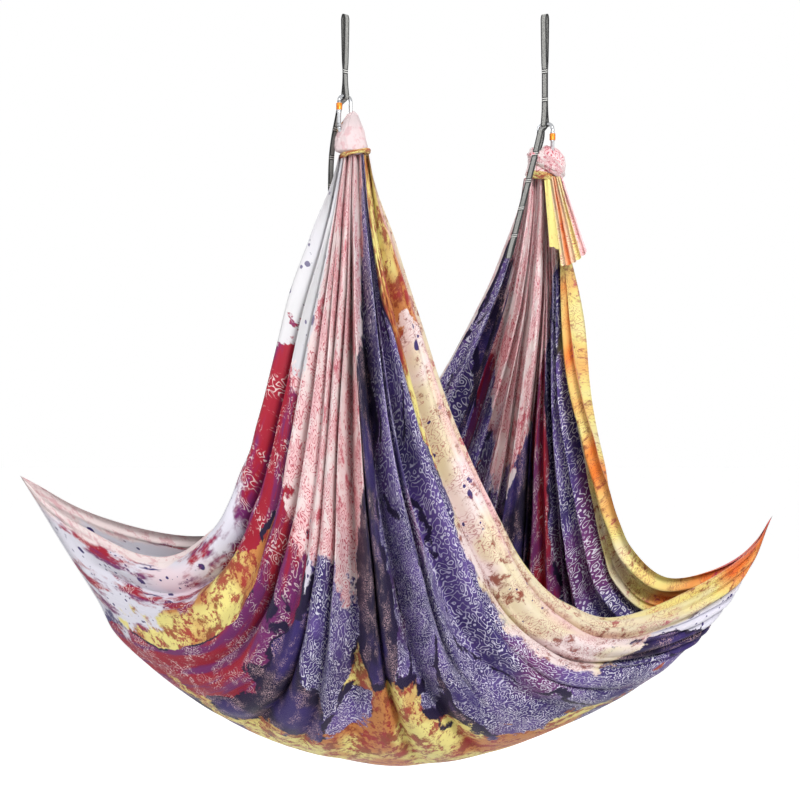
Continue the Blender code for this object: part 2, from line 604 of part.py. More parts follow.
def leaf_points(neck_x, neck_half, neck_z, left_shares, right_shares, heights, leans, facing):
    """Rows of one leaf from its neck to the keel, with its main folds; facing is -1 for the front leaf."""
    left_tip = (-LEFT_TIP_REACH, -HANG_DROP + TIP_RISE)
    right_tip = (SLING_SPAN - LEFT_TIP_REACH, -HANG_DROP + TIP_RISE - RIGHT_TIP_DROP)
    left = selvedge(left_shares, (neck_x - neck_half, neck_z), left_tip)
    right = selvedge(right_shares, (neck_x + neck_half, neck_z), right_tip)
    turns = np.linspace(0, len(FOLD_PLACE_SHARES) - 1, FOLD_COLUMNS * (len(FOLD_PLACE_SHARES) - 1) + 1)
    index = np.arange(len(FOLD_PLACE_SHARES))
    places = np.interp(turns, index, FOLD_PLACE_SHARES)
    keel_table = [(left_tip[0] + x * SLING_SPAN, left_tip[1] - z * TIP_RISE) for x, z in KEEL_SHARES]
    keel = smooth_curve(keel_table, places)
    across = (keel[:, 0] - left_tip[0]) / SLING_SPAN
    tip_line = left_tip[1] + across * (right_tip[1] - left_tip[1])
    sag = tip_line - keel[:, 1]
    belly = sag / sag.max()
    down = np.array(LEAF_ROW_SHARES)[:, None]
    base = np.zeros((len(down), len(places), 3))
    base[..., 0] = left[:, :1] + (right[:, :1] - left[:, :1]) * across
    edge_z = left[:, 1:] + (right[:, 1:] - left[:, 1:]) * across
    deep = neck_z - (neck_z + HANG_DROP) * np.sin(math.pi / 2 * down)
    base[..., 2] = edge_z + (deep - edge_z) * belly
    bulge = SEAT_DEPTH * np.sin(math.pi * down ** 1.2) * belly ** 0.6
    base[..., 1] = facing * (bulge + EDGE_DEPTH * np.abs(np.sin(math.pi * down)) ** 0.8)

    along = np.gradient(base, axis=1)
    outward = np.cross(along, np.gradient(base, axis=0)) * facing
    outward /= np.linalg.norm(outward, axis=2, keepdims=True)
    upright = fade(down, 0, OUTWARD_SHARE)[..., None]
    outward = outward * upright + np.array([0, facing, 0]) * (1 - upright)
    fold_width = np.linalg.norm(along, axis=2).sum(axis=1, keepdims=True) / index[-1]
    along /= np.linalg.norm(along, axis=2, keepdims=True)
    crest = 2 * np.sqrt(np.sin(math.pi * turns) ** 2 + FOLD_ROUND_SHARE) - 1
    crest = crest * np.interp(turns, index, heights)
    lean = -np.sin(math.tau * turns) * np.interp(turns, index, leans)
    edge = np.minimum(places, 1 - places)
    inner = HEM_FOLD_SHARE + (1 - HEM_FOLD_SHARE) * fade(edge, 0, HEM_EDGE_SHARE)
    height = NECK_FOLD_DEPTH + (FOLD_DEPTH - NECK_FOLD_DEPTH) * fade(down, 0, FOLD_OPEN_SHARE)
    height = height * (1 - fade(down, *FOLD_FADE_SHARES))
    lift = height * (crest + FOLD_RISE_SHARE) * inner
    leaning = fade(down, 0, LEAN_OPEN_SHARE) * (1 - fade(down, *LEAN_FADE_SHARES))
    shift = fold_width / math.tau * lean * inner * leaning
    return base + outward * lift[..., None] + along * shift[..., None]


def make_cloth(left_neck, right_neck):
    """The sheet from the left neck, round under the keel and up to the right neck."""
    front = leaf_points(left_neck[0], LEFT_NECK_WIDTH / 2, left_neck[1],
                        FRONT_LEFT_SHARES, FRONT_RIGHT_SHARES, FRONT_HEIGHT_SHARES, FRONT_LEAN_SHARES, -1)
    back = leaf_points(right_neck[0], RIGHT_NECK_WIDTH / 2, right_neck[1],
                       BACK_LEFT_SHARES, BACK_RIGHT_SHARES, BACK_HEIGHT_SHARES, BACK_LEAN_SHARES, 1)
    front[-1] = (front[-1] + back[-1]) / 2
    grid = np.concatenate([front, back[-2::-1]])
    rows, columns = grid.shape[:2]
    faces = []
    for i in range(rows - 1):
        for j in range(columns - 1):
            a = i * columns + j
            faces.append((a, a + 1, a + columns + 1, a + columns))
    mesh = bpy.data.meshes.new("sling_cloth")
    mesh.from_pydata(grid.reshape(-1, 3).tolist(), [], faces)
    mesh.shade_smooth()
    cloth = add_object("sling_cloth", mesh, ((0.2, 0.14, 0.4), 0.6, 0.0))
    wall = cloth.modifiers.new("Thickness", "SOLIDIFY")
    wall.thickness = CLOTH_THICKNESS
    wall.offset = 0.0
    return cloth


def make_knot(side, holder, centre_x, base_z, height, width, shares, colour):
    """A wrapped lump of cloth, cut clear of the carabiner that runs through it."""
    rings = []
    levels = len(shares)
    for i, (up, middle, half) in enumerate(shares):
        ring = []
        for j in range(KNOT_SIDES):
            turn = math.tau * j / KNOT_SIDES
            fold = 1 + KNOT_FOLD_SHARE * math.cos(KNOT_FOLD_COUNT * turn + KNOT_TWIST * i)
            if i in (0, levels - 1):
                fold = 1.0
            x = centre_x + width * (middle + half * fold * math.cos(turn))
            y = KNOT_DEPTH * half * fold * math.sin(turn)
            ring.append(Vector((x, y, base_z + KNOT_GAP + height * up)))
        rings.append(ring)
    knot = add_object(side + "_knot", rings_to_mesh("knot", rings[::-1]), (colour, 0.6, 0.0))
    clearance = add_object(side + "_bar_space", tube_mesh("bar_space", carabiner_path(),
                           BAR_RADIUS + BAR_CLEARANCE, end_way=(0, 0, 1)), None, holder)
    swing = SLEEVE_DIAMETER / 2 + FIT_GAP
    inner = GATE_X * 0.3
    gate_side = GATE_X + swing
    foot = FOOT_Z - BAR_RADIUS
    wedge = [(gate_side, foot), (gate_side, TOP_Z), (inner, TOP_Z), (inner, TOP_Z / 2),
             (GATE_X - swing, PIVOT_Z)]
    wedge.append((GATE_X - BAR_RADIUS - FIT_GAP, foot))
    path = add_object(side + "_gate_space", outline_mesh("gate_space", [wedge], 2 * swing), None, holder)
    path.matrix_local = Matrix.Rotation(math.pi / 2, 4, "X")
    boolean(knot, clearance)
    boolean(knot, path)
    return knot


def make_free_tail(neck, colour):
    """The cloth's free end, hanging in pleats from the right knot."""
    top_x = neck[0] - RIGHT_NECK_SHIFT + TAIL_TOP_SHIFT
    low_x = neck[0] - RIGHT_NECK_SHIFT + TAIL_BOTTOM_SHIFT
    points = []
    for i in range(TAIL_ROWS + 1):
        down = i / TAIL_ROWS
        wide = TAIL_TOP_WIDTH + (TAIL_BOTTOM_WIDTH - TAIL_TOP_WIDTH) * down
        middle = top_x + (low_x - top_x) * down
        for j in range(TAIL_COLUMNS + 1):
            across = j / TAIL_COLUMNS
            x = middle + wide * (across - 0.5)
            y = -TAIL_FRONT + TAIL_PLEAT_DEPTH * math.cos(math.tau * across * TAIL_COLUMNS / 4)
            drop = TAIL_LENGTH * down * (1 - 0.12 * across + 0.1 * math.sin(math.pi * across))
            points.append((x, y, neck[1] - drop))
    columns = TAIL_COLUMNS + 1
    faces = []
    for i in range(TAIL_ROWS):
        for j in range(TAIL_COLUMNS):
            a = i * columns + j
            faces.append((a, a + 1, a + columns + 1, a + columns))
    mesh = bpy.data.meshes.new("right_cloth_tail")
    mesh.from_pydata(points, [], faces)
    mesh.shade_smooth()
    tail = add_object("right_cloth_tail", mesh, (colour, 0.6, 0.0))
    wall = tail.modifiers.new("Thickness", "SOLIDIFY")
    wall.thickness = CLOTH_THICKNESS
    wall.offset = 0.0
    return tail


def foot_of(holder):
    """The middle of the carabiner's foot, across and up, in the part's frame."""
    bpy.context.view_layer.update()
    foot = holder.matrix_world @ Vector((GATE_X / 2, 0, 0))
    return foot.x, foot.z


def main():
    clear_scene()
    left = make_carabiner("left", LEFT_TURN, LEFT_CLIP_COUNT, LEFT_STRAP_SHARE,
                          LEFT_TAIL_LEAN_SHARE, LEFT_TAIL_LEAN_RUN, 0)
    right = make_carabiner("right", RIGHT_TURN, RIGHT_CLIP_COUNT, RIGHT_STRAP_SHARE,
                           RIGHT_TAIL_LEAN_SHARE, RIGHT_TAIL_LEAN_RUN, RIGHT_CLIP_COUNT + 1)
    left_x, left_foot = foot_of(left)
    right_x, right_foot = foot_of(right)
    left_base = left_foot - LEFT_KNOT_HEIGHT / 2
    right_base = right_foot - RIGHT_KNOT_HEIGHT * 0.52
    left_neck = (left_x + LEFT_NECK_SHIFT, left_base)
    right_neck = (right_x + RIGHT_NECK_SHIFT, right_base)
    make_knot("left", left, left_x, left_base, LEFT_KNOT_HEIGHT, LEFT_KNOT_WIDTH,
              LEFT_KNOT_SHARES, (0.8, 0.6, 0.64))
    make_knot("right", right, right_x, right_base, RIGHT_KNOT_HEIGHT, RIGHT_KNOT_WIDTH,
              RIGHT_KNOT_SHARES, (0.8, 0.55, 0.55))
    make_cloth(left_neck, right_neck)
    make_free_tail(right_neck, (0.8, 0.6, 0.2))


main()
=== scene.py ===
"""The looks of an aerial hammock: printed cloth, sewn webbing and screw-gate carabiners."""
import json
import math
import random
import bpy
import bmesh
import numpy as np
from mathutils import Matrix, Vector, noise

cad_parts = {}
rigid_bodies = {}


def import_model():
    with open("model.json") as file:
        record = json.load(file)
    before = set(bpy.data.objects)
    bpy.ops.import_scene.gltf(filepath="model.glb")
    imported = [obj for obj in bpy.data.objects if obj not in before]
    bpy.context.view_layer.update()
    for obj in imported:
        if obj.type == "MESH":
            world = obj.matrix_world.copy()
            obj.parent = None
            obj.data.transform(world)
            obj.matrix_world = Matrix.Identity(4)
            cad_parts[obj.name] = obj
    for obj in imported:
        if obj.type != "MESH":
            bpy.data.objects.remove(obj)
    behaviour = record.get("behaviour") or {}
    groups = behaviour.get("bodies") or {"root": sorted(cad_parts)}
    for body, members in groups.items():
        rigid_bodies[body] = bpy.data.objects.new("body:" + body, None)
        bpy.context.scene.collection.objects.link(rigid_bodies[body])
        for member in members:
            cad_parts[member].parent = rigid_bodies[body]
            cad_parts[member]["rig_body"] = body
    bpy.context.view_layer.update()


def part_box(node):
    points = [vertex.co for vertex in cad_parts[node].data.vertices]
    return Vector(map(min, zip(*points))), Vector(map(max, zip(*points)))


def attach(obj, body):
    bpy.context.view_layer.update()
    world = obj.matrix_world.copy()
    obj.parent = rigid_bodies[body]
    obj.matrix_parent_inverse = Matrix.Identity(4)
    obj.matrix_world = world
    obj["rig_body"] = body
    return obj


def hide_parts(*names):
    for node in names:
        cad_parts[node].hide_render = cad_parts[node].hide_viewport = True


bl_info = {
    "name": "Aerial hammock",
    "version": (1, 0, 0),
    "blender": (4, 5, 0),
    "location": "View3D > Sidebar > Hammock",
    "description": "Dresses the hammock's frame in cloth, webbing and metal",
    "category": "Object",
}

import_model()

# Sizes shared with the frame, in metres
LEFT_KNOT_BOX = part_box("left_knot")
RIGHT_KNOT_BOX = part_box("right_knot")
TAIL_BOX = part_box("right_cloth_tail")
SLING_SPAN = 2.09
TIP_RISE = 0.795
RIGHT_TIP_DROP = 0.108
LEFT_TIP = (-1.179, -2.075 + TIP_RISE)
RIGHT_TIP = (LEFT_TIP[0] + SLING_SPAN, LEFT_TIP[1] - RIGHT_TIP_DROP)
KEEL_Z = LEFT_TIP[1] - TIP_RISE
LEFT_NECK = (-0.2519, 0.041)
RIGHT_NECK = (0.2564, 0.037)
HOOK_X = 0.277
FIRST_TACK = 0.158
POCKET = 0.078
TACK_RUNS = [FIRST_TACK + POCKET * i for i in range(7)]

# The same outlines as the frame's cloth
FRONT_LEFT_SHARES = [(0, 0), (0.03, 0.13), (0.06, 0.31), (0.11, 0.54), (0.19, 0.82), (0.26, 0.97),
                     (0.34, 1.1), (0.49, 1.22), (0.62, 1.23), (0.78, 1.16), (0.91, 1.08), (1, 1)]
FRONT_RIGHT_SHARES = [(0, 0), (0.02, 0.12), (0.07, 0.4), (0.13, 0.62), (0.21, 0.83), (0.37, 1.14),
                      (0.51, 1.25), (0.62, 1.27), (0.79, 1.2), (0.94, 1.09), (1, 1)]
BACK_LEFT_SHARES = [(0, 0), (0.01, 0.1), (0.04, 0.27), (0.07, 0.39), (0.15, 0.64), (0.22, 0.81),
                    (0.3, 0.94), (0.42, 1.09), (0.54, 1.18), (0.68, 1.21), (0.84, 1.14), (1, 1)]
BACK_RIGHT_SHARES = [(0, 0), (0.05, 0.22), (0.11, 0.54), (0.19, 0.75), (0.31, 1.01), (0.38, 1.11),
                     (0.53, 1.19), (0.73, 1.17), (0.89, 1.1), (1, 1)]
KEEL_SHARES = [(0, 0), (0.04, 0.16), (0.1, 0.4), (0.14, 0.56), (0.25, 0.78), (0.37, 0.93), (0.51, 1),
               (0.66, 0.95), (0.79, 0.8), (0.86, 0.68), (0.92, 0.52), (0.97, 0.33), (1, 0.14)]


class Shade:
    """A shader socket that takes part in sums; numbers go in as they are."""

    def __init__(self, graph, socket):
        self.graph = graph
        self.socket = socket

    def _math(self, operation, *values):
        return self.graph.node("ShaderNodeMath", {"operation": operation}, values)

    def __add__(self, other):
        return self._math("ADD", self, other)

    def __radd__(self, other):
        return self._math("ADD", other, self)

    def __sub__(self, other):
        return self._math("SUBTRACT", self, other)

    def __rsub__(self, other):
        return self._math("SUBTRACT", other, self)

    def __mul__(self, other):
        return self._math("MULTIPLY", self, other)

    def __rmul__(self, other):
        return self._math("MULTIPLY", other, self)

    def __truediv__(self, other):
        return self._math("DIVIDE", self, other)

    def __abs__(self):
        return self._math("ABSOLUTE", self)

    def max(self, other):
        return self._math("MAXIMUM", self, other)

    def sine(self):
        return self._math("SINE", self)

    def rise(self, low, high):
        """0 below low and 1 above high, with a soft step between; low may be the larger one."""
        settings = {"interpolation_type": "SMOOTHSTEP"}
        if low > high:
            return self.graph.node("ShaderNodeMapRange", settings, (self, high, low, 1.0, 0.0))
        return self.graph.node("ShaderNodeMapRange", settings, (self, low, high, 0.0, 1.0))


class Graph:
    """The node tree of one material."""

    def __init__(self, name):
        self.material = bpy.data.materials.new(name)
        self.material.use_nodes = True
        self.tree = self.material.node_tree
        self.shader = self.tree.nodes["Principled BSDF"]

    def node(self, kind, settings=None, values=(), output=0):
        """Add one node: its settings first, then the values or links of its sockets."""
        made = self.tree.nodes.new(kind)
        for key, value in (settings or {}).items():
            if key == "ramp":
                ramp = made.color_ramp
                while len(ramp.elements) < len(value):
                    ramp.elements.new(1.0)
                for element, (place, colour) in zip(ramp.elements, value):
                    element.position = place
                    element.color = (*colour, 1.0)
            else:
                setattr(made, key, value)
        pairs = values.items() if isinstance(values, dict) else enumerate(values)
        for key, value in pairs:
            self.feed(made.inputs[key], value)
        return Shade(self, made.outputs[output])

    def feed(self, socket, value):
        if isinstance(value, Shade):
            self.tree.links.new(value.socket, socket)
        elif value is not None:
            if hasattr(socket.default_value, "__len__") and len(socket.default_value) == 4:
                value = (*value[:3], 1.0)
            socket.default_value = value

    def place(self, source="Object"):
        if source == "UV":
            return self.node("ShaderNodeUVMap", {"uv_map": "cloth"})
        return self.node("ShaderNodeTexCoord", output=source)

    def stretch(self, spot, scale, shift=(0, 0, 0)):
        return self.node("ShaderNodeMapping", None, {"Vector": spot, "Scale": scale, "Location": shift})

    def noise(self, spot, scale, detail=2.0, rough=0.5, output="Fac"):
        return self.node("ShaderNodeTexNoise", None,
                         {"Vector": spot, "Scale": scale, "Detail": detail, "Roughness": rough}, output)

    def cells(self, spot, scale, feature="F1", output="Distance"):
        return self.node("ShaderNodeTexVoronoi", {"feature": feature},
                         {"Vector": spot, "Scale": scale}, output)

    def mix(self, share, first, second):
        return self.node("ShaderNodeMix", {"data_type": "RGBA"}, {0: share, 6: first, 7: second}, 2)

    def vector(self, operation, *values):
        return self.node("ShaderNodeVectorMath", {"operation": operation}, values)

    def split(self, spot):
        parted = self.tree.nodes.new("ShaderNodeSeparateXYZ")
        self.feed(parted.inputs[0], spot)
        return [Shade(self, out) for out in parted.outputs]

    def finish(self, colour, roughness, metallic=0.0, height=None, depth=0.0005, **constants):
        self.feed(self.shader.inputs["Base Color"], colour)
        self.feed(self.shader.inputs["Roughness"], roughness)
        self.feed(self.shader.inputs["Metallic"], metallic)
        if height is not None:
            bump = self.node("ShaderNodeBump", None,
                             {"Strength": 1.0, "Distance": depth, "Height": height})
            self.feed(self.shader.inputs["Normal"], bump)
        for name, value in constants.items():
            label = name.replace("_", " ").title().replace("Ior", "IOR")
            self.shader.inputs[label].default_value = value
        return self.material


# Print colours, as linear light; the pale and petal tones also carry painted shade
INDIGO = (0.04, 0.022, 0.14)
VIOLET = (0.13, 0.075, 0.3)
NIGHT = (0.012, 0.005, 0.035)
FROST = (0.76, 0.74, 0.83)
# A grey-green pale, darker than the frost: partly the print's tint, partly painted shade where the key
# lamp lights the left flank most
PALE_AND_SHADE = (0.66, 0.66, 0.62)
BLUSH = (0.88, 0.75, 0.74)
# Darker than the blush: the knots' rose print, darkened as painted shade on the knots
PETAL_SHADED = (0.76, 0.63, 0.64)
ROSE = (0.88, 0.58, 0.6)
MAGENTA = (0.5, 0.03, 0.1)
RED = (0.52, 0.035, 0.08)
CRIMSON = (0.36, 0.01, 0.03)
PLUM = (0.17, 0.02, 0.13)
LEMON = (0.84, 0.74, 0.26)
OCHRE = (0.6, 0.24, 0.07)
ORANGE = (0.85, 0.22, 0.03)
CREAM = (0.8, 0.7, 0.5)
RUST = (0.25, 0.035, 0.015)

# Patches of the print: each takes a share of the panels, in this order
SLING_PATCHES = (("indigo", 0.36), ("frost", 0.15), ("violet", 0.12), ("plum", 0.13),
                 ("night", 0.12), ("rose", 0.05), ("sun", 0.07))
# The knots take only the darkened rose, which carries painted shade
KNOT_PATCHES = (("shaded_petal", 1.0),)
WRAP_PATCHES = (("rose", 1.0),)
HEM_PATCHES = (("sun", 1.0),)
PANEL_SIZE = (0.3, 1.15)
PANEL_SHIFT = (66.0, 30.0)
OUTLINE = 0.022
CREASE_DEPTH = 0.0055
KNIT_PITCHES = 260.0

# Where the print's zones lie on the flat cloth, in metres across it and along it
SEAT_ALONG = 1.85
LEFT_KNOT_REACH = 0.9
RIGHT_KNOT_REACH = 0.72
CREAM_FROM = 2.34
CREAM_MIDDLE = 0.95
PALE_TO = 0.52
SUN_SPOT = (1.45, 1.68)
LEFT_TIP_ZONE = 0.5
PALE_HEM = 0.09
WARM_HEM_FROM = 2.54
TAIL_SPOT = (2.2, 1.15)
TAIL_SPREAD = 0.32


def curls(graph, spot, scale, turns):
    """Thin curling lines, drawn as contours of a smooth noise."""
    return abs((graph.noise(spot, scale, 0.5, 0.4) * turns).sine()).rise(0.55, 0.25)


def drops(graph, spot, scale, reach, where):
    """Round drops of uneven size, one to a cell, where the given share is high."""
    size, _, _ = graph.split(graph.cells(spot, scale, output="Color"))
    ragged = (graph.noise(spot, scale * 2.6, 2.0) - 0.5) * 0.2
    return (graph.cells(spot, scale) + ragged - size * size * reach * where).rise(0.04, 0.0)


def print_patches(graph, spot):
    """The fillings of the print, each as one colour over the whole cloth."""
    fray = graph.noise(spot, 34.0, 6.0, 0.72)
    cloud = graph.noise(spot, 4.0, 3.0)
    mist = graph.noise(spot, 13.0, 4.0, 0.6)
    wash = graph.noise(spot, 2.1, 3.0)
    stroke = graph.noise(graph.stretch(spot, (16.0, 2.2, 1.0)), 1.0, 5.0, 0.65)
    lace = curls(graph, spot, 60.0, 14.0)
    fine = curls(graph, spot, 105.0, 12.0)
    splash = drops(graph, spot, 19.0, 0.3, cloud.rise(0.4, 0.5))
    splash = splash.max(drops(graph, spot, 64.0, 0.4, mist.rise(0.45, 0.55)))
    indigo = graph.mix(cloud.rise(0.42, 0.64), INDIGO, VIOLET)
    indigo = graph.mix(wash.rise(0.52, 0.66) * 0.8, indigo, PLUM)
    violet = graph.mix(mist.rise(0.4, 0.62), VIOLET, INDIGO)
    stain = fray.rise(0.5, 0.56) * mist.rise(0.42, 0.5)
    rusty = graph.noise(spot, 11.0, 7.0, 0.75).rise(0.5, 0.57)
    rose = graph.mix(mist.rise(0.4, 0.62), BLUSH, ROSE)
    red = graph.mix(stroke.rise(0.42, 0.56), PLUM, CRIMSON)
    frost = graph.mix(wash.rise(0.5, 0.62) * 0.5, FROST, ROSE)
    night = graph.mix(cloud.rise(0.46, 0.6), NIGHT, INDIGO)
    # The knots' fill: rose print darkened as painted shade
    shaded_petal = graph.mix(mist.rise(0.4, 0.7) * 0.4, PETAL_SHADED, ROSE)
    blush = graph.mix(mist.rise(0.45, 0.7) * 0.3, BLUSH, ROSE)
    sun = graph.mix(cloud.rise(0.46, 0.58), LEMON, OCHRE)
    cream = graph.mix(cloud.rise(0.47, 0.57), CREAM, BLUSH)
    cream = graph.mix(fine * mist.rise(0.44, 0.54) * 0.6, cream, CRIMSON)
    cream = graph.mix(splash * wash.rise(0.5, 0.54), cream, INDIGO)
    return {
        "indigo": graph.mix(lace * mist.rise(0.3, 0.5) * cloud.rise(0.3, 0.42), indigo, FROST),
        "violet": graph.mix(fine * 0.75, violet, FROST),
        "frost": graph.mix(splash.max(stroke.rise(0.62, 0.66)), frost, INDIGO),
        "cream": graph.mix(rusty * fray.rise(0.46, 0.56) * 0.9, cream, RUST),
        # The pale fill: grey-green print with drops, darker in part as painted shade
        "pale": graph.mix(splash * 0.8, graph.mix(cloud, PALE_AND_SHADE, FROST), INDIGO),
        "shaded_petal": graph.mix(stain * 0.25, shaded_petal, RED),
        "blush": graph.mix(stain * 0.35, blush, MAGENTA),
        "rose": graph.mix((lace * mist.rise(0.4, 0.5)).max(stain * cloud.rise(0.52, 0.6)) * 0.85,
                          rose, RED),
        "night": graph.mix(fine * mist.rise(0.46, 0.6) * 0.6, night, ROSE),
        "plum": graph.mix(lace * mist.rise(0.46, 0.58) * 0.75, red, BLUSH),
        "sun": graph.mix(rusty.max(stain) * 0.9, sun, graph.mix(mist.rise(0.4, 0.6), RUST, CRIMSON)),
    }


def knit_rows(graph, spot):
    """The fine ribs of the knit, as a height."""
    return graph.node("ShaderNodeTexWave", {"bands_direction": "X"},
                      {"Vector": spot, "Scale": KNIT_PITCHES, "Distortion": 0.6}, "Fac")


def warm_hem(graph, spot, across, along):
    """The hem's colours: cream, lemon and orange strips, mottled with rust."""
    waver = (graph.noise(spot, 3.0, 3.0) - 0.5) * 0.16
    at_tip = abs(along - SEAT_ALONG).rise(0.6, 0.1)
    inside = WARM_HEM_FROM + at_tip * 0.11
    tones = [(0.0, ROSE), (0.25, CREAM), (0.42, CREAM), (0.6, LEMON), (0.78, ORANGE), (1.0, MAGENTA)]
    warmer = (along + waver).rise(1.6, 2.0) * 0.34 + at_tip * 0.3
    strip = (across + waver * 0.8 - 2.5) * 1.4 + warmer + (graph.noise(spot, 3.0, 3.0) - 0.5) * 1.1
    colour = graph.node("ShaderNodeValToRGB", {"ramp": tones}, (strip,))
    lace = curls(graph, spot, 90.0, 12.0) * graph.noise(spot, 13.0, 4.0, 0.6).rise(0.44, 0.54)
    colour = graph.mix(lace * 0.5, colour, CRIMSON)
    patchy = graph.noise(spot, 9.0, 3.0).rise(0.42, 0.56)
    mottle = graph.noise(spot, 46.0, 5.0, 0.7).rise(0.5, 0.6) * patchy
    red = graph.mix(graph.noise(spot, 5.0, 2.0).rise(0.45, 0.6), RUST, MAGENTA)
    return graph.mix(mottle * 0.85, colour, red), (across + waver - inside).rise(-0.02, 0.02)


def cloth_finish(name, shares, hemmed=False):
    """An abstract wash print: long ragged panels, filled with scribble, drops and stains."""
    graph = Graph(name)
    spot = graph.place("UV")
    bend = graph.vector("MULTIPLY", graph.noise(spot, 2.4, 2.0, output="Color"), (0.42, 0.5, 0.0))
    curl = graph.vector("MULTIPLY", graph.noise(spot, 22.0, 5.0, 0.65, output="Color"), (0.05, 0.09, 0.0))
    warped = graph.vector("ADD", graph.vector("ADD", spot, bend), curl)
    laid = graph.stretch(warped, (1 / PANEL_SIZE[0], 1 / PANEL_SIZE[1], 1.0), (*PANEL_SHIFT, 0.0))
    pick, _, _ = graph.split(graph.cells(laid, 1.0, output="Color"))
    rim = graph.cells(laid, 1.0, "DISTANCE_TO_EDGE")
    patches = print_patches(graph, spot)
    colour = patches[shares[0][0]]
    reached = shares[0][1]
    for patch, share in shares[1:]:
        colour = graph.mix(pick.rise(reached, reached + 0.002), colour, patches[patch])
        reached += share
    if len(shares) > 1:
        ink = rim.rise(OUTLINE, OUTLINE * 0.6) * graph.noise(spot, 8.0, 3.0).rise(0.47, 0.5)
        colour = graph.mix(ink, colour, NIGHT)
    across, along, _ = graph.split(spot)
    if hemmed:
        ragged = (graph.noise(spot, 7.0, 5.0, 0.65) - 0.5) * 0.5
        aside = (across - 1.25).max(0.55 - across).max(0.0)
        near_left_knot = (along + ragged + aside * 1.5).rise(LEFT_KNOT_REACH, LEFT_KNOT_REACH - 0.02)
        colour = graph.mix(near_left_knot, colour, patches["rose"])
        right_side = (across + ragged * 0.5).rise(CREAM_FROM, CREAM_FROM + 0.02)
        right_side = right_side * abs(along + ragged - CREAM_MIDDLE).rise(0.52, 0.5)
        colour = graph.mix(right_side, colour, patches["cream"])
        # The upper left flank by the left knot turns to the darker pale: partly print tint, partly painted
        # shade
        pale_shade_zone = (along + ragged * 1.4).rise(PALE_TO, PALE_TO - 0.02)
        pale_shade_zone = pale_shade_zone * (across + ragged * 0.3).rise(0.5, 0.48)
        colour = graph.mix(pale_shade_zone, colour, patches["pale"])
        from_right_knot = CLOTH_BETWEEN_KNOTS - along + ragged + abs(across - 1.5) * 0.5
        near_right_knot = from_right_knot.rise(RIGHT_KNOT_REACH, RIGHT_KNOT_REACH - 0.02)
        colour = graph.mix(near_right_knot, colour, patches["rose"])
        from_seat = abs(along - SUN_SPOT[1]) * 0.8 + ragged * 1.2 + abs(across - SUN_SPOT[0]) * 0.45
        colour = graph.mix(from_seat.rise(0.33, 0.31), colour, patches["sun"])
        from_left_tip = across + ragged + abs(along - SEAT_ALONG) * 0.4
        left_tip = from_left_tip.rise(LEFT_TIP_ZONE, LEFT_TIP_ZONE - 0.04)
        streak = graph.noise(graph.stretch(spot, (9.0, 3.5, 1.0)), 1.0, 5.0, 0.6).rise(0.5, 0.58)
        colour = graph.mix(left_tip, colour, graph.mix(streak, patches["frost"], patches["plum"]))
        pale = (across + (graph.noise(spot, 9.0, 3.0) - 0.5) * 0.12).rise(PALE_HEM, PALE_HEM - 0.02)
        colour = graph.mix(pale, colour, patches["blush"])
        hem_colour, warm = warm_hem(graph, spot, across, along)
        colour = graph.mix(warm, colour, hem_colour)
    crease = graph.noise(graph.stretch(spot, (24.0, 2.4, 1.0)), 1.0, 4.0, 0.55)
    height = knit_rows(graph, spot) * 0.06 + crease + graph.noise(spot, 14.0, 3.0) * 0.3
    rough = 0.36 + graph.noise(spot, 12.0, 2.0) * 0.16
    return graph.finish(colour, rough, 0.0, height, CREASE_DEPTH, specular_ior_level=0.3,
                        sheen_weight=0.02, sheen_roughness=0.4)


def tail_finish(name):
    """The free end's print: a lemon strip, then cream and orange strips up to a pink edge."""
    graph = Graph(name)
    spot = graph.place("UV")
    across, along, _ = graph.split(spot)
    mist = graph.noise(spot, 22.0, 4.0, 0.6)
    tones = [(0.0, LEMON), (0.3, LEMON), (0.36, CREAM), (0.52, ORANGE), (0.64, CREAM), (0.78, LEMON),
             (0.88, ROSE), (1.0, ROSE)]
    strip = (across - TAIL_SPOT[0]) / TAIL_SPREAD + (mist - 0.5) * 0.16
    colour = graph.node("ShaderNodeValToRGB", {"ramp": tones}, (strip,))
    below = (strip + (along - TAIL_SPOT[1]) * 0.8).rise(0.34, 0.5)
    scribble = curls(graph, spot, 110.0, 14.0) * mist.rise(0.42, 0.55) * below
    colour = graph.mix(scribble * 0.85, colour, RED)
    colour = graph.mix(graph.noise(spot, 60.0, 5.0, 0.7).rise(0.58, 0.64) * 0.7, colour, OCHRE)
    return graph.finish(colour, 0.4 + mist * 0.12, 0.0, knit_rows(graph, spot) * 0.2 + mist, 0.0012,
                        specular_ior_level=0.4, sheen_weight=0.04, sheen_roughness=0.4)


# Webbing: each strap's turn about the vertical, its yarns, and where its black edge begins and is full
TURNS = {"left": math.radians(230), "right": math.radians(-40)}
GREY_YARNS = ((0.2, 0.2, 0.19), (0.4, 0.4, 0.38), (0.5, 0.5, 0.48))
BLACK_YARN = (0.01, 0.01, 0.011)
BLACK_EDGE = (0.0056, 0.0062)


def webbing_finish():
    """Grey woven webbing with black edges; the weave follows each strap's own turn."""
    graph = Graph("webbing")
    x, y, z = graph.split(graph.place("Object"))
    right = x.rise(-0.01, 0.01)
    left_across = (x + HOOK_X) * math.cos(TURNS["left"]) + y * math.sin(TURNS["left"])
    right_across = (x - HOOK_X) * math.cos(TURNS["right"]) + y * math.sin(TURNS["right"])
    across = left_across * (1.0 - right) + right_across * right
    edge = abs(across).rise(*BLACK_EDGE)
    rib = ((z * 2600.0).sine() * 0.5 + 0.5)
    warp = ((across * 5200.0).sine() * 0.5 + 0.5)
    cell = rib * warp
    wear = graph.noise(graph.place("Object"), 260.0, 3.0)
    grey = graph.mix(cell, GREY_YARNS[0], GREY_YARNS[1])
    grey = graph.mix(wear.rise(0.45, 0.75) * 0.5, grey, GREY_YARNS[2])
    colour = graph.mix(edge, grey, BLACK_YARN)
    return graph.finish(colour, 0.75 + wear * 0.2, 0.0, cell * 0.7 + wear * 0.3, 0.0005, sheen_weight=0.15)


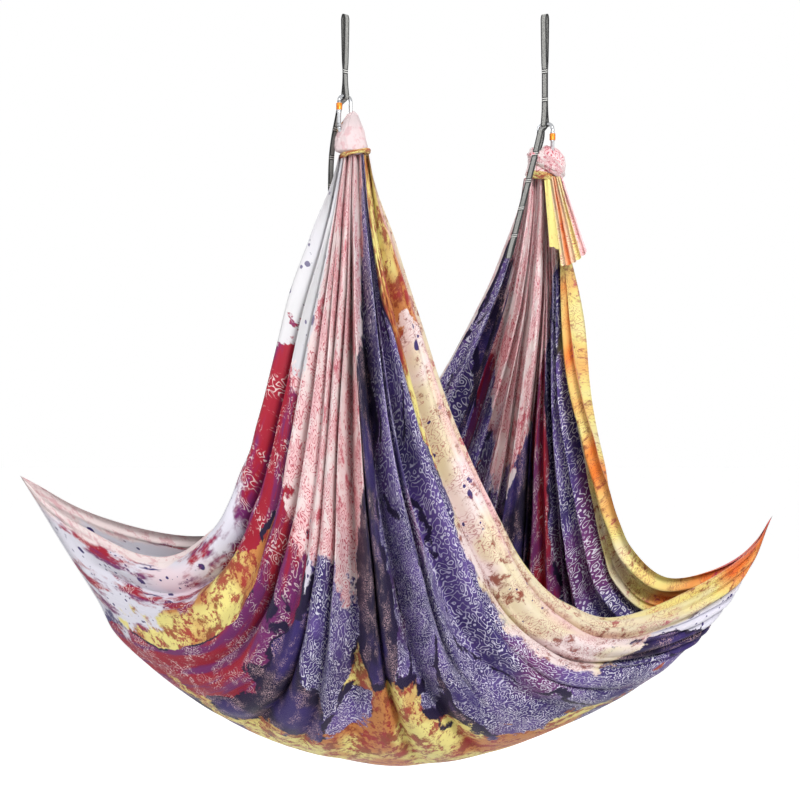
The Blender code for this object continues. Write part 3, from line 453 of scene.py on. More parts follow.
def metal_finish(name, colour, low, high, streak, metallic=1.0):
    """Polished or satin metal with fine scratches and a duller film in random patches."""
    graph = Graph(name)
    spot = graph.place("Object")
    film = graph.noise(spot, 60.0, 4.0)
    scratch = graph.noise(graph.stretch(spot, streak), 40.0, 3.0)
    rough = low + (film.rise(0.35, 0.7) * 0.6 + scratch * 0.4) * (high - low)
    tint = graph.mix(film.rise(0.3, 0.75), colour, tuple(c * 0.86 for c in colour))
    return graph.finish(tint, rough, metallic, scratch, 0.00012)


def empty_selection():
    if bpy.context.object is not None and bpy.context.object.mode != "OBJECT":
        bpy.ops.object.mode_set(mode="OBJECT")
    bpy.ops.object.select_all(action="DESELECT")


def curve_through(table, shares):
    """Read a smooth curve through placed points at shares of the distance along it."""
    points = np.array(table, dtype=float)
    padded = np.vstack([2 * points[0] - points[1], points, 2 * points[-1] - points[-2]])
    fine = []
    for i in range(1, len(padded) - 2):
        a, b, c, d = padded[i - 1], padded[i], padded[i + 1], padded[i + 2]
        for t in np.linspace(0, 1, 24, endpoint=False):
            fine.append(0.5 * (2 * b + (c - a) * t + (2 * a - 5 * b + 4 * c - d) * t ** 2
                               + (3 * b - a - 3 * c + d) * t ** 3))
    fine = np.array(fine + [points[-1]])
    run = np.concatenate([[0], np.cumsum(np.hypot(*np.diff(fine, axis=0).T))])
    want = run[-1] * np.array(shares)
    return np.column_stack([np.interp(want, run, fine[:, k]) for k in (0, 1)])


def step(value, low, high):
    share = np.clip((value - low) / (high - low), 0, 1)
    return share * share * (3 - 2 * share)


def sheet_object(name, grid, spots, finish, slot="printed_cloth", body="root"):
    """A mesh over a grid of points, with its places on the flat cloth as a UV map in metres."""
    rows, columns = grid.shape[:2]
    index = np.arange(rows * columns).reshape(rows, columns)
    corners = np.stack([index[:-1, :-1], index[:-1, 1:], index[1:, 1:], index[1:, :-1]], axis=-1)
    corners = corners.reshape(-1, 4)
    mesh = bpy.data.meshes.new(name)
    mesh.from_pydata(grid.reshape(-1, 3).tolist(), [], corners.tolist())
    layer = mesh.uv_layers.new(name="cloth")
    layer.data.foreach_set("uv", spots.reshape(-1, 2)[corners.reshape(-1)].astype(np.float32).ravel())
    mesh.shade_smooth()
    made = bpy.data.objects.new(name, mesh)
    bpy.context.scene.collection.objects.link(made)
    made.data.materials.append(finish)
    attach(made, body)
    return made


# The sheet laid flat, and the steps of its mesh
CLOTH_WIDTH = 2.8
CLOTH_BETWEEN_KNOTS = 3.7
COLUMNS = 420
LEAF_ROWS = 112

# Depths of the seat and the folds; a pair is the depth at the neck and what is added below it
SEAT_DEPTH = 0.21
EDGE_DEPTH = 0.05
FOLD_DEPTHS = (0.011, 0.034)
ROLL_DEPTHS = (0.005, 0.035)
NECK_RIBBONS = 4
RIBBON_DEPTH = 0.009
CORD_DEPTH = 0.0105
LEFT_HEM_DEPTH = 0.005
CREASE_LIFT = 0.0016
DRAG_LIFT = 0.0022

# Pleats of each leaf, as shares of its width from the left selvedge to the right one
FOLD_PLACES = (0, 0.07, 0.21, 0.33, 0.455, 0.6, 0.74, 0.87, 1)
FRONT_HEIGHTS = (0.8, 1.05, 0.85, 1.1, 1.15, 0.9, 1.05, 0.85, 0.8)
FRONT_LEANS = (0.5, 0.8, 0.6, 0.9, -0.9, -0.7, -0.9, -0.6, -0.4)
BACK_HEIGHTS = (0.8, 0.95, 1.1, 0.9, 1.05, 1.15, 0.85, 1, 0.8)
BACK_LEANS = (0.4, 0.7, 0.9, 0.6, 0.8, -0.8, -0.6, -0.9, -0.5)
FRONT_ROLLS = 2
BACK_ROLLS = 3
NARROW_FOLD = 0.08
HEM_ROLLS = 8
HEM_SHARE = 0.15
LEFT_HEM_SHARE = 0.022
LEFT_HEM_FADE = (0.0215, 0.024)
SWAY_SHARE = 0.01


def leaf_base(neck_x, neck_half, neck_z, left_shares, right_shares, facing):
    """The unpleated surface of one leaf, from its neck to the keel, as in the frame."""
    down = np.linspace(0, 1, LEAF_ROWS + 1)
    places = np.linspace(0, 1, COLUMNS + 1)
    ends = ((left_shares, neck_x - neck_half, LEFT_TIP), (right_shares, neck_x + neck_half, RIGHT_TIP))
    edges = []
    for shares, start_x, tip in ends:
        table = [(start_x + x * (tip[0] - start_x), neck_z + z * (tip[1] - neck_z)) for x, z in shares]
        edges.append(curve_through(table, down))
    left, right = edges
    keel_table = [(LEFT_TIP[0] + x * SLING_SPAN, LEFT_TIP[1] - z * TIP_RISE) for x, z in KEEL_SHARES]
    keel = curve_through(keel_table, places)
    across = (keel[:, 0] - LEFT_TIP[0]) / SLING_SPAN
    sag = LEFT_TIP[1] + across * (RIGHT_TIP[1] - LEFT_TIP[1]) - keel[:, 1]
    belly = np.clip(sag / sag.max(), 0, 1)
    v = down[:, None]
    x = left[:, :1] + (right[:, :1] - left[:, :1]) * across[None, :]
    edge_z = left[:, 1:] + (right[:, 1:] - left[:, 1:]) * across[None, :]
    deep = neck_z - (neck_z - KEEL_Z) * np.sin(math.pi / 2 * v)
    z = edge_z + (deep - edge_z) * belly[None, :]
    y = facing * (SEAT_DEPTH * np.sin(math.pi * v ** 1.2) * belly[None, :] ** 0.6
                  + EDGE_DEPTH * np.sin(math.pi * v) ** 0.8)
    return np.stack([x, y, z], axis=-1), v, places


def ridges(phase, round_off):
    """Rounded crests of 1 with sharp valleys near -1, two to a full turn."""
    return 2 * np.sqrt(np.sin(phase) ** 2 + round_off) - 1


def gathers(places, bounds, tall, lean):
    """Rounded rolls with sharp valleys between the bounds: their height, and how far they lean."""
    turns = np.interp(places, bounds, np.arange(len(bounds)))
    phase = math.tau * turns
    index = np.arange(len(bounds))
    crest = ridges(phase / 2, 0.006) * np.interp(turns, index, tall)
    return crest, -np.sin(phase) * np.interp(turns, index, lean)


def roll_bounds(draw, rolls_each):
    """The finer rolls' bounds: each fold's own, and uneven cuts between them."""
    rolls = [0.0]
    for start, end in zip(FOLD_PLACES[:-1], FOLD_PLACES[1:]):
        count = rolls_each if end - start > NARROW_FOLD else 1
        cuts = [(k + draw.uniform(-0.14, 0.14)) / count for k in range(1, count)]
        rolls += [start + (end - start) * cut for cut in cuts] + [end]
    return np.array(rolls)


def pleated_leaf(neck, shares, facing, heights, leans, rolls_each, seed):
    """One leaf: a few deep folds from the knot to the seat, and finer rolls on them that fade out."""
    base, v, places = leaf_base(*neck, *shares, facing)
    draw = random.Random(seed)
    sway = SWAY_SHARE * np.sin(4.2 * v + draw.uniform(0, 6) + 8 * places[None, :]) * step(v, 0, 0.5)
    u = places[None, :] + sway * np.sin(math.pi * places[None, :])
    folds = np.array(FOLD_PLACES)
    rolls = roll_bounds(draw, rolls_each)
    roll_tall = np.array([draw.uniform(0.6, 1.2) for _ in rolls])
    roll_lean = np.array([draw.uniform(-1.0, 1.0) for _ in rolls])
    roll_end = np.array([draw.uniform(0.75, 1.1) for _ in rolls]) + 0.35 * np.abs(rolls - 0.5)
    along_u = np.gradient(base, axis=1)
    along_v = np.gradient(base, axis=0)
    side = along_u / np.maximum(np.linalg.norm(along_u, axis=2, keepdims=True), 1e-9)
    normal = np.cross(along_u, along_v)
    normal /= np.maximum(np.linalg.norm(normal, axis=2, keepdims=True), 1e-9)
    normal *= facing
    blend = step(v, 0.0, 0.12)[..., None]
    flat_way = np.array([0.0, facing, 0.0])
    normal = normal * blend + flat_way * (1 - blend)
    width = np.linalg.norm(along_u, axis=2).sum(axis=1, keepdims=True)

    fold_crest, fold_side = gathers(u, folds, heights, leans)
    roll_crest, roll_side = gathers(u, rolls, roll_tall, roll_lean)
    fold_width = width / (len(folds) - 1)
    roll_width = width / (len(rolls) - 1)
    ending = np.interp(u, rolls, roll_end)
    deep = (FOLD_DEPTHS[0] + FOLD_DEPTHS[1] * step(v, 0.0, 0.28)) * (1 - step(v, 0.4, 0.99))
    fine = (ROLL_DEPTHS[0] + ROLL_DEPTHS[1] * step(v, 0.03, 0.26)) * (1 - step(v / ending, 0.48, 1.0))
    fine = fine * (1 - step(v, 0.75, 1.0))
    edge = np.minimum(places, 1 - places)[None, :]
    inner = 0.3 + 0.7 * step(edge, 0.0, 0.05)
    lift = (deep * (fold_crest + 0.4) - facing * fine * (roll_crest - 0.1)) * inner
    over = (fold_width / math.tau * fold_side * step(v, 0.0, 0.2) * (1 - step(v, 0.5, 0.95))
            + roll_width / math.tau * roll_side * (1 - step(v / ending, 0.45, 0.95))) * inner
    ribbon = math.tau * (NECK_RIBBONS * u + 0.1)
    at_neck = 1 - step(v, 0.06, 0.34)
    lift = lift + RIBBON_DEPTH * np.cos(ribbon) * at_neck * inner
    over = over - width / 30 * np.sin(ribbon) * at_neck * inner
    left_edge = places[None, :]
    right_edge = (1 - places)[None, :]
    rows_open = step(v, 0.1, 0.35) * (1 - step(v, 0.94, 1.0))
    cords = CORD_DEPTH * ridges(math.pi * right_edge / HEM_SHARE * HEM_ROLLS, 0.01)
    lift = lift + cords * (1 - step(right_edge, HEM_SHARE * 0.98, HEM_SHARE * 1.05)) * rows_open
    thin = LEFT_HEM_DEPTH * ridges(math.pi * left_edge / LEFT_HEM_SHARE, 0.01)
    lift = lift + thin * (1 - step(left_edge, *LEFT_HEM_FADE)) * rows_open
    points = base + normal * lift[..., None] + side * over[..., None]
    crease = CREASE_LIFT * np.sin(61 * left_edge + 14 * np.sin(6 * v) + 5 * np.sin(11 * left_edge + 3 * v))
    drag = DRAG_LIFT * np.sin(23 * v + 9 * np.sin(5 * left_edge)) * np.sin(17 * left_edge)
    points += normal * ((crease + drag * step(v, 0.5, 0.8)) * step(v, 0.2, 0.6))[..., None]
    return points


def sling_grid():
    """The sheet from the left neck, down the front, round the keel and up the back."""
    front = pleated_leaf((*LEFT_NECK, LEFT_KNOT_BOX[0][2]), (FRONT_LEFT_SHARES, FRONT_RIGHT_SHARES),
                         -1, FRONT_HEIGHTS, FRONT_LEANS, FRONT_ROLLS, seed=11)
    back = pleated_leaf((*RIGHT_NECK, RIGHT_KNOT_BOX[0][2]), (BACK_LEFT_SHARES, BACK_RIGHT_SHARES),
                        1, BACK_HEIGHTS, BACK_LEANS, BACK_ROLLS, seed=5)
    front[-1] = (front[-1] + back[-1]) / 2
    grid = np.concatenate([front, back[-2::-1]])
    rows, columns = grid.shape[:2]
    spots = np.zeros((rows, columns, 2))
    spots[..., 0] = np.linspace(0, CLOTH_WIDTH, columns)[None, :]
    spots[..., 1] = np.linspace(0, CLOTH_BETWEEN_KNOTS, rows)[:, None]
    return grid, spots


# Knots from the bottom up: height, middle and half width, as shares of the knot's box
LEFT_LEVELS = [(0, 0.5, 0.4), (0.08, 0.51, 0.48), (0.2, 0.5, 0.5), (0.36, 0.48, 0.47), (0.55, 0.51, 0.4),
               (0.74, 0.53, 0.28), (0.9, 0.55, 0.17), (0.97, 0.57, 0.1), (1, 0.57, 0.04)]
RIGHT_LEVELS = [(0, 0.44, 0.42), (0.08, 0.46, 0.46), (0.22, 0.5, 0.48), (0.42, 0.53, 0.47),
                (0.64, 0.56, 0.41), (0.84, 0.56, 0.3), (0.95, 0.54, 0.18), (1, 0.54, 0.06)]
KNOT_STEPS = (90, 160)
WRAP_STEPS = (120, 56)
PRINT_ROUND_KNOT = 0.34
PRINT_ROUND_WRAP = 0.4

# The free end, in metres: its widths at the knot and at the hem, how far it swings out and drops
TAIL_STEPS = (120, 200)
TAIL_FLAT = (0.195, 0.235)
TAIL_TOP = 0.05
TAIL_BOTTOM = 0.104
TAIL_SWING = 0.042
TAIL_DROP = 0.232
TAIL_PLEATS = 7
PLEAT_DEPTH = 0.0062


def closed_rings(name, rings, spots, finish):
    """A closed body through rings of points, with flat caps and a UV map for the print."""
    made = sheet_object(name, rings, spots, finish)
    seam = bmesh.new()
    seam.from_mesh(made.data)
    bmesh.ops.remove_doubles(seam, verts=seam.verts, dist=1e-6)
    bmesh.ops.holes_fill(seam, edges=[e for e in seam.edges if e.is_boundary], sides=400)
    bmesh.ops.recalc_face_normals(seam, faces=seam.faces)
    seam.to_mesh(made.data)
    seam.free()
    made.data.shade_smooth()
    return made


def knot_core(name, box, levels, seed, finish):
    """The bunched cloth in a knot: a soft lump with long creases that climb to its top."""
    low, high = Vector(box[0]), Vector(box[1])
    half_y = (high.y - low.y) / 2
    width = high.x - low.x
    height = high.z - low.z
    rows, columns = KNOT_STEPS
    table = np.array(levels)
    grid = np.zeros((rows + 1, columns + 1, 3))
    for i in range(rows + 1):
        up = i / rows
        centre = np.interp(up, table[:, 0], table[:, 1])
        half = np.interp(up, table[:, 0], table[:, 2])
        round_off = min(1.0, (1 - up) * 12 + 0.02) ** 0.5 * min(1.0, up * 9 + 0.25) ** 0.5
        for j in range(columns + 1):
            turn = math.tau * j / columns
            climb = turn + 0.9 * up + 0.25 * math.sin(3 * up + seed)
            crease = ridges(2.5 * climb + seed, 0.02)
            spot = Vector((math.cos(turn) * 1.2, math.sin(turn) * 1.2, up * 1.6 + seed))
            soft = 0.07 * noise.noise(spot) + 0.02 * noise.noise(spot * 3.3)
            fine = 0.012 * math.sin(19 * climb + 5 * up)
            reach = half * (0.95 + soft + (0.035 * crease + fine) * (0.3 + 0.7 * up)) * round_off
            grid[i, j] = (low.x + width * (centre + reach * math.cos(turn)),
                          half_y * 2 * reach * math.sin(turn), low.z + height * up * 0.99)
    grid[:, -1] = grid[:, 0]
    spots = np.zeros((rows + 1, columns + 1, 2))
    spots[..., 0] = seed * 0.31 + np.linspace(0, PRINT_ROUND_KNOT, columns + 1)[None, :]
    spots[..., 1] = seed * 0.57 + np.linspace(0, height, rows + 1)[:, None]
    return closed_rings(name, grid, spots, finish)


def cloth_wrap(foot, name, centre, radii, slant, thick, creases, seed, finish):
    """A band of gathered cloth round a knot: a slanted ring with creases along it."""
    centre = (centre[0], centre[1], foot + centre[2])
    around, section = WRAP_STEPS
    grid = np.zeros((around + 1, section + 1, 3))
    spots = np.zeros((around + 1, section + 1, 2))
    for i in range(around + 1):
        turn = math.tau * i / around
        way = Vector((math.cos(turn), math.sin(turn), 0))
        middle = Vector(centre) + Vector((radii[0] * way.x, radii[1] * way.y, slant * radii[0] * way.x))
        swell = 1 + 0.22 * math.sin(turn + seed) + 0.1 * math.sin(2 * turn + 2 * seed)
        for j in range(section + 1):
            spin = math.tau * j / section
            crease = ridges(creases / 2 * spin + 0.7 * math.sin(turn + seed), 0.02)
            reach = swell * (1 + 0.09 * crease + 0.03 * math.sin(9 * spin + 4 * turn))
            spot = middle + way * (thick[0] * reach * math.cos(spin))
            grid[i, j] = (spot.x, spot.y, spot.z + thick[1] * reach * math.sin(spin))
            spots[i, j] = (seed * 0.83 + i / around, seed * 0.37 + PRINT_ROUND_WRAP * j / section)
    grid[-1] = grid[0]
    grid[:, -1] = grid[:, 0]
    return closed_rings(name, grid, spots, finish)


def tail_grid():
    """The free end: a fan of pleats under the right knot."""
    low, high = Vector(TAIL_BOX[0]), Vector(TAIL_BOX[1])
    rows, columns = TAIL_STEPS
    grid = np.zeros((rows + 1, columns + 1, 3))
    across = np.linspace(0, 1, columns + 1)[None, :]
    down = np.linspace(0, 1, rows + 1)[:, None]
    middle = low.x + TAIL_TOP / 2 + TAIL_SWING * down
    wide = TAIL_TOP + (TAIL_BOTTOM - TAIL_TOP) * down
    pleat = math.tau * TAIL_PLEATS * (across ** 1.2)
    panel = 1 - step(across, 0.26, 0.34)
    wave = np.cos(pleat) * (1 - panel) + 0.3 * np.cos(math.pi * across / 0.3) * panel
    depth = PLEAT_DEPTH * (0.8 + 0.3 * down)
    grid[..., 0] = middle + wide * (across - 0.5) + 0.004 * np.sin(pleat) * (1 - panel)
    grid[..., 1] = (low.y + high.y) / 2 + depth * wave + 0.0012 * np.sin(23 * across + 5 * down)
    drop = TAIL_DROP * down * (1 - 0.12 * across + 0.1 * np.sin(math.pi * across)) * (1 - 0.15 * panel)
    ragged = -0.012 * panel * down + 0.004 * np.cos(pleat) * down
    grid[..., 2] = high.z - drop - ragged * 0.5
    spots = np.zeros((rows + 1, columns + 1, 2))
    spots[..., 0] = TAIL_SPOT[0] + TAIL_SPREAD * across
    spots[..., 1] = TAIL_SPOT[1] + TAIL_FLAT[1] * down
    return grid, spots


# Stitching, and the way each strap takes: which pocket holds the carabiner, and how it leans below it
THREAD = 0.0011
TACK_LENGTH = 0.0186
TACK_PITCH = 0.0028
TACK_HEIGHT = 0.0017
TACK_DROP = 0.0005
CLIPS = {"left": 1, "right": 2}
LEANS = {"left": 0.3, "right": 0.42}
LEAN_RUNS = {"left": 0.13, "right": 0.6}
STEP_OUT = 0.0195
STEP_RUN = 0.015
STEP_LEAD = 0.003
LEAN_EASE = 0.012
LEAN_END_EASE = 0.03
LOOK_AHEAD = 0.002


def thread_finish(name, dark, light):
    graph = Graph(name)
    spot = graph.place("Object")
    twist = graph.noise(spot, 1400.0, 2.0)
    colour = graph.mix(twist.rise(0.3, 0.7), dark, light)
    return graph.finish(colour, 0.6 + twist * 0.2, 0.0, twist, 0.0002)


def strap_middle(side, run):
    """Where a strap's middle line lies at a distance from its top, with its out and along ways."""
    clip = TACK_RUNS[CLIPS[side]]
    turn = TURNS[side]
    out_way = Vector((math.sin(turn), -math.cos(turn), 0))

    def offset(at):
        past = at - clip + STEP_LEAD
        share = min(max(past / STEP_RUN, 0), 1)
        out = STEP_OUT * share * share * (3 - 2 * share)
        below = max(past - STEP_RUN / 2, 0)
        end = math.log1p(math.exp((below - LEAN_RUNS[side]) / LEAN_END_EASE))
        below = max(below - LEAN_END_EASE * end, 0)
        return out + LEANS[side] * (below - LEAN_EASE * (1 - math.exp(-below / LEAN_EASE)))

    hook = Vector((-HOOK_X if side == "left" else HOOK_X, 0, 0))
    here = hook + out_way * offset(run) + Vector((0, 0, -run))
    ahead = hook + out_way * offset(run + LOOK_AHEAD) + Vector((0, 0, -run - LOOK_AHEAD))
    along = (ahead - here).normalized()
    across = Vector((math.cos(turn), math.sin(turn), 0))
    face = across.cross(along).normalized()
    return here, along, across, face


def tack_group(name, side, rows, finish):
    """Bar tacks on one strap: rows of close stitches through both layers."""
    empty_selection()
    made = []
    for k, run in enumerate(TACK_RUNS):
        if k == CLIPS[side]:
            continue
        at, along, across, face = strap_middle(side, run + TACK_DROP)
        for row in rows:
            for front in (-1, 1):
                centre = at + along * row * TACK_PITCH + face * front * TACK_HEIGHT
                bpy.ops.mesh.primitive_cube_add(size=1, location=(0, 0, 0))
                bar = bpy.context.object
                bpy.ops.object.mode_set(mode="EDIT")
                bpy.ops.mesh.subdivide(number_cuts=3)
                bpy.ops.transform.resize(value=(TACK_LENGTH, THREAD * 2.3, THREAD * 0.9))
                bpy.ops.object.mode_set(mode="OBJECT")
                for point in bar.data.vertices:
                    x, y, z = point.co
                    swell = 1 + 0.25 * math.cos(x * 5200)
                    point.co = centre + across * x + along * y * swell + face * z * swell
                made.append(bar)
    empty_selection()
    for bar in made:
        bar.select_set(True)
    bpy.context.view_layer.objects.active = made[0]
    bpy.ops.object.join()
    group = bpy.context.object
    group.name = name
    group.data.name = name
    bpy.ops.object.mode_set(mode="EDIT")
    bpy.ops.mesh.select_all(action="SELECT")
    bpy.ops.mesh.normals_make_consistent(inside=False)
    bpy.ops.object.mode_set(mode="OBJECT")
    bevel = group.modifiers.new("Round", "BEVEL")
    bevel.width = THREAD * 0.25
    bevel.segments = 1
    bpy.ops.object.modifier_apply(modifier="Round")
    bpy.ops.object.shade_smooth_by_angle(angle=math.radians(50))
    group.data.materials.clear()
    group.data.materials.append(finish)
    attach(group, "root")
    return group


# Camera and light: each lamp's name, place, aim, width and watts
CAMERA_PLACE = (-0.125, -4.5, -1.07)
CAMERA_LENS = 73.0
FLOOR_Z = -2.5
FLOOR_WIDTH = 60
FLOOR_PAINT = 0.8
FLOOR_GLOW = 0.62
SKY_LIGHT = 0.41
SEEING_RAYS = ("Camera", "Glossy", "Transmission")
LAMPS = (("key", (1.7, -3.9, 0.9), (0, 0, -1.2), 1.3, 150),
         ("inner", (0.5, -2.6, 0.9), (0.32, 0.25, -0.95), 0.8, 30),
         ("fill", (-3.0, -3.0, -0.6), (0, 0, -1.2), 2.4, 42),
         ("rim", (-0.6, 3.0, 0.8), (0, 0, -1.2), 2.0, 45))


def add_camera():
    empty_selection()
    bpy.ops.object.camera_add(location=CAMERA_PLACE, rotation=(math.radians(90), 0, 0))
    camera = bpy.context.object
    camera.name = "view"
    camera.data.lens = CAMERA_LENS
    camera.data.sensor_width = 36.0
    camera.data.clip_end = 50.0
    bpy.context.scene.camera = camera
    return camera


def add_lamp(name, place, aim, width, watts):
    empty_selection()
    bpy.ops.object.light_add(type="AREA", location=place)
    lamp = bpy.context.object
    lamp.name = name
    lamp.data.shape = "SQUARE"
    lamp.data.size = width
    lamp.data.energy = watts
    lamp.rotation_euler = (Vector(aim) - Vector(place)).to_track_quat("-Z", "Y").to_euler()
    return lamp


def stage_finish(name, lit, glow):
    """Pale matt paint that the camera and reflections see near white, with shadows kept."""
    graph = Graph(name)
    spot = graph.place("Object")
    grain = graph.noise(spot, 3.0, 2.0)
    shade = graph.mix(grain, (lit, lit, lit), (lit * 0.985, lit * 0.985, lit * 0.985))
    made = graph.finish(shade, 0.9)
    path = graph.tree.nodes.new("ShaderNodeLightPath")
    camera, glossy, through = [Shade(graph, path.outputs["Is " + ray + " Ray"]) for ray in SEEING_RAYS]
    glowing = graph.mix(camera.max(glossy).max(through), (0, 0, 0), (glow, glow, glow))
    graph.feed(graph.shader.inputs["Emission Color"], glowing)
    graph.shader.inputs["Emission Strength"].default_value = 1.0
    return made


def add_stage():
    empty_selection()
    bpy.ops.mesh.primitive_plane_add(size=FLOOR_WIDTH, location=(0, 0, FLOOR_Z))
    floor = bpy.context.object
    floor.name = "floor"
    floor.data.materials.append(stage_finish("floor_paint", FLOOR_PAINT, FLOOR_GLOW))
    world = bpy.data.worlds.new("studio")
    bpy.context.scene.world = world
    world.use_nodes = True
    tree = world.node_tree
    back = tree.nodes["Background"]
    path = tree.nodes.new("ShaderNodeLightPath")
    first = tree.nodes.new("ShaderNodeMath")
    first.operation = "MAXIMUM"
    second = tree.nodes.new("ShaderNodeMath")
    second.operation = "MAXIMUM"
    tree.links.new(path.outputs["Is Camera Ray"], first.inputs[0])
    tree.links.new(path.outputs["Is Glossy Ray"], first.inputs[1])
    tree.links.new(first.outputs[0], second.inputs[0])
    tree.links.new(path.outputs["Is Transmission Ray"], second.inputs[1])
    strength = tree.nodes.new("ShaderNodeMapRange")
    strength.inputs["To Min"].default_value = SKY_LIGHT
    strength.inputs["To Max"].default_value = 1.0
    tree.links.new(second.outputs[0], strength.inputs["Value"])
    tree.links.new(strength.outputs[0], back.inputs["Strength"])
    back.inputs["Color"].default_value = (1, 1, 1, 1)
    for lamp in LAMPS:
        add_lamp(*lamp)
    bpy.context.scene.view_settings.view_transform = "Standard"


# Metals and threads, as linear light
ALLOY = (0.5, 0.51, 0.53)
SLEEVE_ORANGE = (0.75, 0.22, 0.015)
GATE_ALLOY = (0.55, 0.56, 0.58)
PIN_STEEL = (0.6, 0.6, 0.62)
SPRING_STEEL = (0.5, 0.5, 0.52)
DARK_THREAD = ((0.006, 0.006, 0.007), (0.05, 0.05, 0.05))
PALE_THREAD = ((0.4, 0.4, 0.38), (0.75, 0.75, 0.72))

# Bands of cloth at the knots: name, place with its height over the knot's foot, half widths, slant,
# half thickness, creases round the band and where they start
LEFT_BANDS = (("left_knot_hem", (-0.25, 0, 0.004), (0.036, 0.033), 0.2, (0.007, 0.007), 3, 0.4),
              ("left_knot_collar", (-0.281, 0.012, 0.086), (0.016, 0.016), 0.95, (0.0055, 0.008), 5, 2.1))
RIGHT_WRAP = ("right_knot_wrap", (0.283, -0.002, 0.036), (0.037, 0.034), -0.62, (0.014, 0.02), 7, 4.4)
RIGHT_BAND = ("right_knot_hem", (0.268, 0, 0.004), (0.036, 0.03), -0.12, (0.007, 0.009), 5, 3.3)


class HammockCloth(bpy.types.PropertyGroup):
    """Sizes of the cloth."""
    width: bpy.props.FloatProperty(
        name="Cloth width", description="Width from selvedge to selvedge, laid flat",
        default=CLOTH_WIDTH, min=1.0, unit="LENGTH")
    length: bpy.props.FloatProperty(
        name="Cloth between knots", description="Length between the knots, laid flat",
        default=CLOTH_BETWEEN_KNOTS, min=1.0, unit="LENGTH")


class HammockMetal(bpy.types.PropertyGroup):
    """Colours of the metal pieces."""
    alloy: bpy.props.FloatVectorProperty(
        name="Alloy", description="Colour of the carabiners",
        default=ALLOY, min=0, max=1, subtype="COLOR")
    sleeve: bpy.props.FloatVectorProperty(
        name="Sleeve", description="Colour of the lock sleeves",
        default=SLEEVE_ORANGE, min=0, max=1, subtype="COLOR")


class DressSling(bpy.types.Operator):
    """Lay the pleated sheet over the frame's cloth."""
    bl_idname = "hammock.sling"
    bl_label = "Sling cloth"

    def execute(self, context):
        finish = cloth_finish("sheet_print", SLING_PATCHES, hemmed=True)
        sheet = sheet_object("printed_sheet", *sling_grid(), finish)
        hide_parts("sling_cloth")
        return {"FINISHED"}


class DressKnots(bpy.types.Operator):
    """Tie the two knots and hang the free end."""
    bl_idname = "hammock.knots"
    bl_label = "Knots and free end"

    def execute(self, context):
        finish = cloth_finish("knot_print_shaded", KNOT_PATCHES)
        wrap = cloth_finish("wrap_print", WRAP_PATCHES)
        warm = cloth_finish("hem_print", HEM_PATCHES)
        left = knot_core("left_tied_knot", LEFT_KNOT_BOX, LEFT_LEVELS, 1.0, finish)
        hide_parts("left_knot")
        right = knot_core("right_tied_knot", RIGHT_KNOT_BOX, RIGHT_LEVELS, 4.0, wrap)
        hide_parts("right_knot")
        for band in LEFT_BANDS:
            cloth_wrap(LEFT_KNOT_BOX[0][2], *band, warm)
        cloth_wrap(RIGHT_KNOT_BOX[0][2], *RIGHT_WRAP, wrap)
        cloth_wrap(RIGHT_KNOT_BOX[0][2], *RIGHT_BAND, warm)
        tail = sheet_object("right_free_end", *tail_grid(), tail_finish("tail_print"))
        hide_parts("right_cloth_tail")
        return {"FINISHED"}


class DressStraps(bpy.types.Operator):
    """Finish the webbing and sew its bar tacks."""
    bl_idname = "hammock.straps"
    bl_label = "Straps"

    def execute(self, context):
        webbing = webbing_finish()
        dark = thread_finish("dark_thread", *DARK_THREAD)
        pale = thread_finish("pale_thread", *PALE_THREAD)
        for side in ("left", "right"):
            for part in ("_strap", "_top_loop"):
                smooth_copy(side + part, side + part + "_webbing", webbing, 50)
            tack_group(side + "_dark_tacks", side, (-2, 0, 2), dark)
            tack_group(side + "_pale_tacks", side, (-1, 1), pale)
        return {"FINISHED"}


class DressCarabiners(bpy.types.Operator):
    """Finish the carabiners' metal pieces."""
    bl_idname = "hammock.carabiners"
    bl_label = "Carabiners"

    def execute(self, context):
        metal = context.scene.hammock_metal
        alloy = metal_finish("polished_alloy", tuple(metal.alloy), 0.1, 0.3, (1, 1, 4))
        gate = metal_finish("gate_alloy", GATE_ALLOY, 0.2, 0.4, (6, 6, 1))
        steel = metal_finish("pin_steel", PIN_STEEL, 0.2, 0.4, (1, 1, 1))
        wire = metal_finish("spring_steel", SPRING_STEEL, 0.25, 0.45, (1, 1, 1))
        sleeve = metal_finish("orange_sleeve", tuple(metal.sleeve), 0.25, 0.5, (1, 1, 6), 0.55)
        for side in ("left", "right"):
            smooth_copy(side + "_carabiner_frame", side + "_frame_metal", alloy)
            smooth_copy(side + "_gate", side + "_gate_metal", gate)
            smooth_copy(side + "_lock_sleeve", side + "_sleeve_metal", sleeve, 28)
            smooth_copy(side + "_gate_rivet", side + "_rivet_metal", steel)
            paint_node(side + "_catch_pin", steel)
            paint_node(side + "_spring_plunger", steel)
            paint_node(side + "_gate_spring", wire)
        return {"FINISHED"}


class SetStage(bpy.types.Operator):
    """Place the floor, the lamps and the camera."""
    bl_idname = "hammock.stage"
    bl_label = "Stage"

    def execute(self, context):
        add_stage()
        add_camera()
        return {"FINISHED"}


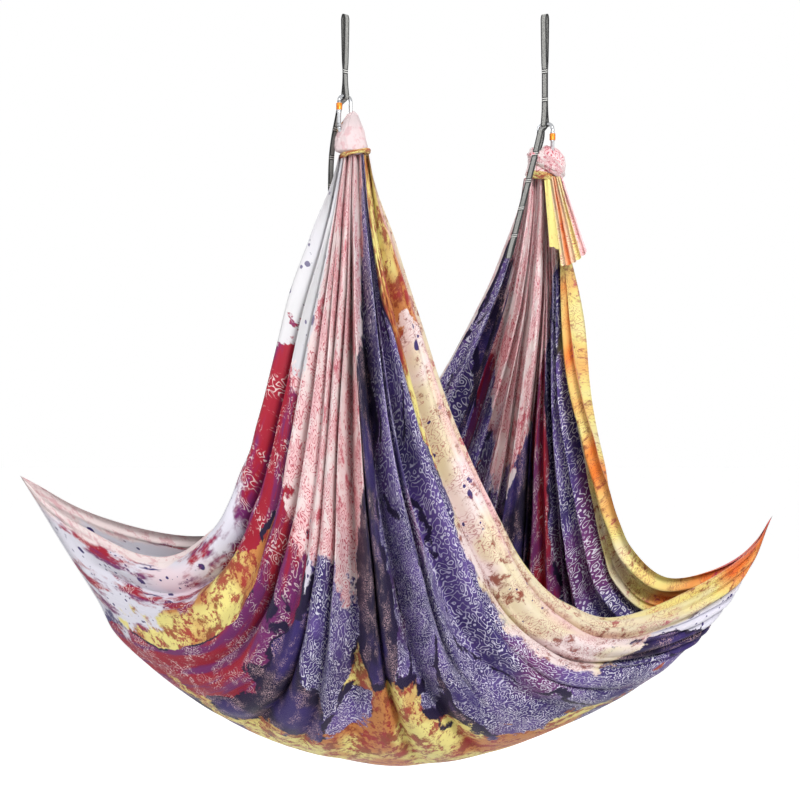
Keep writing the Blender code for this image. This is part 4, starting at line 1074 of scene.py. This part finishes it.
class HammockPanel(bpy.types.Panel):
    """The hammock's sizes, colours and steps."""
    bl_idname = "VIEW3D_PT_hammock"
    bl_label = "Aerial hammock"
    bl_space_type = "VIEW_3D"
    bl_region_type = "UI"
    bl_category = "Hammock"

    def draw(self, context):
        layout = self.layout
        layout.prop(context.scene.hammock_cloth, "width")
        layout.prop(context.scene.hammock_cloth, "length")
        layout.prop(context.scene.hammock_metal, "alloy")
        layout.prop(context.scene.hammock_metal, "sleeve")
        for operator in OPERATORS:
            layout.operator(operator.bl_idname)


def smooth_copy(node_name, name, finish, angle=35):
    """A merged and smooth-shaded copy of a frame's node, which it stands for."""
    node = bpy.data.objects[node_name]
    empty_selection()
    made = bpy.data.objects.new(name, node.data.copy())
    made.data.name = name
    bpy.context.scene.collection.objects.link(made)
    made.select_set(True)
    bpy.context.view_layer.objects.active = made
    bpy.ops.object.mode_set(mode="EDIT")
    bpy.ops.mesh.select_all(action="SELECT")
    bpy.ops.mesh.remove_doubles(threshold=1e-6)
    bpy.ops.mesh.tris_convert_to_quads()
    bpy.ops.object.mode_set(mode="OBJECT")
    bpy.ops.object.shade_smooth_by_angle(angle=math.radians(angle))
    made.data.materials.clear()
    made.data.materials.append(finish)
    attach(made, node["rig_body"])
    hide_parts(node_name)
    return made


def paint_node(name, finish):
    bpy.data.objects[name].material_slots[0].material = finish


OPERATORS = (DressSling, DressKnots, DressStraps, DressCarabiners, SetStage)
CLASSES = (HammockCloth, HammockMetal) + OPERATORS + (HammockPanel,)


def register():
    for entry in CLASSES:
        bpy.utils.register_class(entry)
    bpy.types.Scene.hammock_cloth = bpy.props.PointerProperty(type=HammockCloth)
    bpy.types.Scene.hammock_metal = bpy.props.PointerProperty(type=HammockMetal)


def unregister():
    del bpy.types.Scene.hammock_metal
    del bpy.types.Scene.hammock_cloth
    for entry in reversed(CLASSES):
        bpy.utils.unregister_class(entry)


def main():
    register()
    bpy.ops.hammock.sling()
    bpy.ops.hammock.knots()
    bpy.ops.hammock.straps()
    bpy.ops.hammock.carabiners()
    bpy.ops.hammock.stage()


if __name__ == "__main__":
    main()
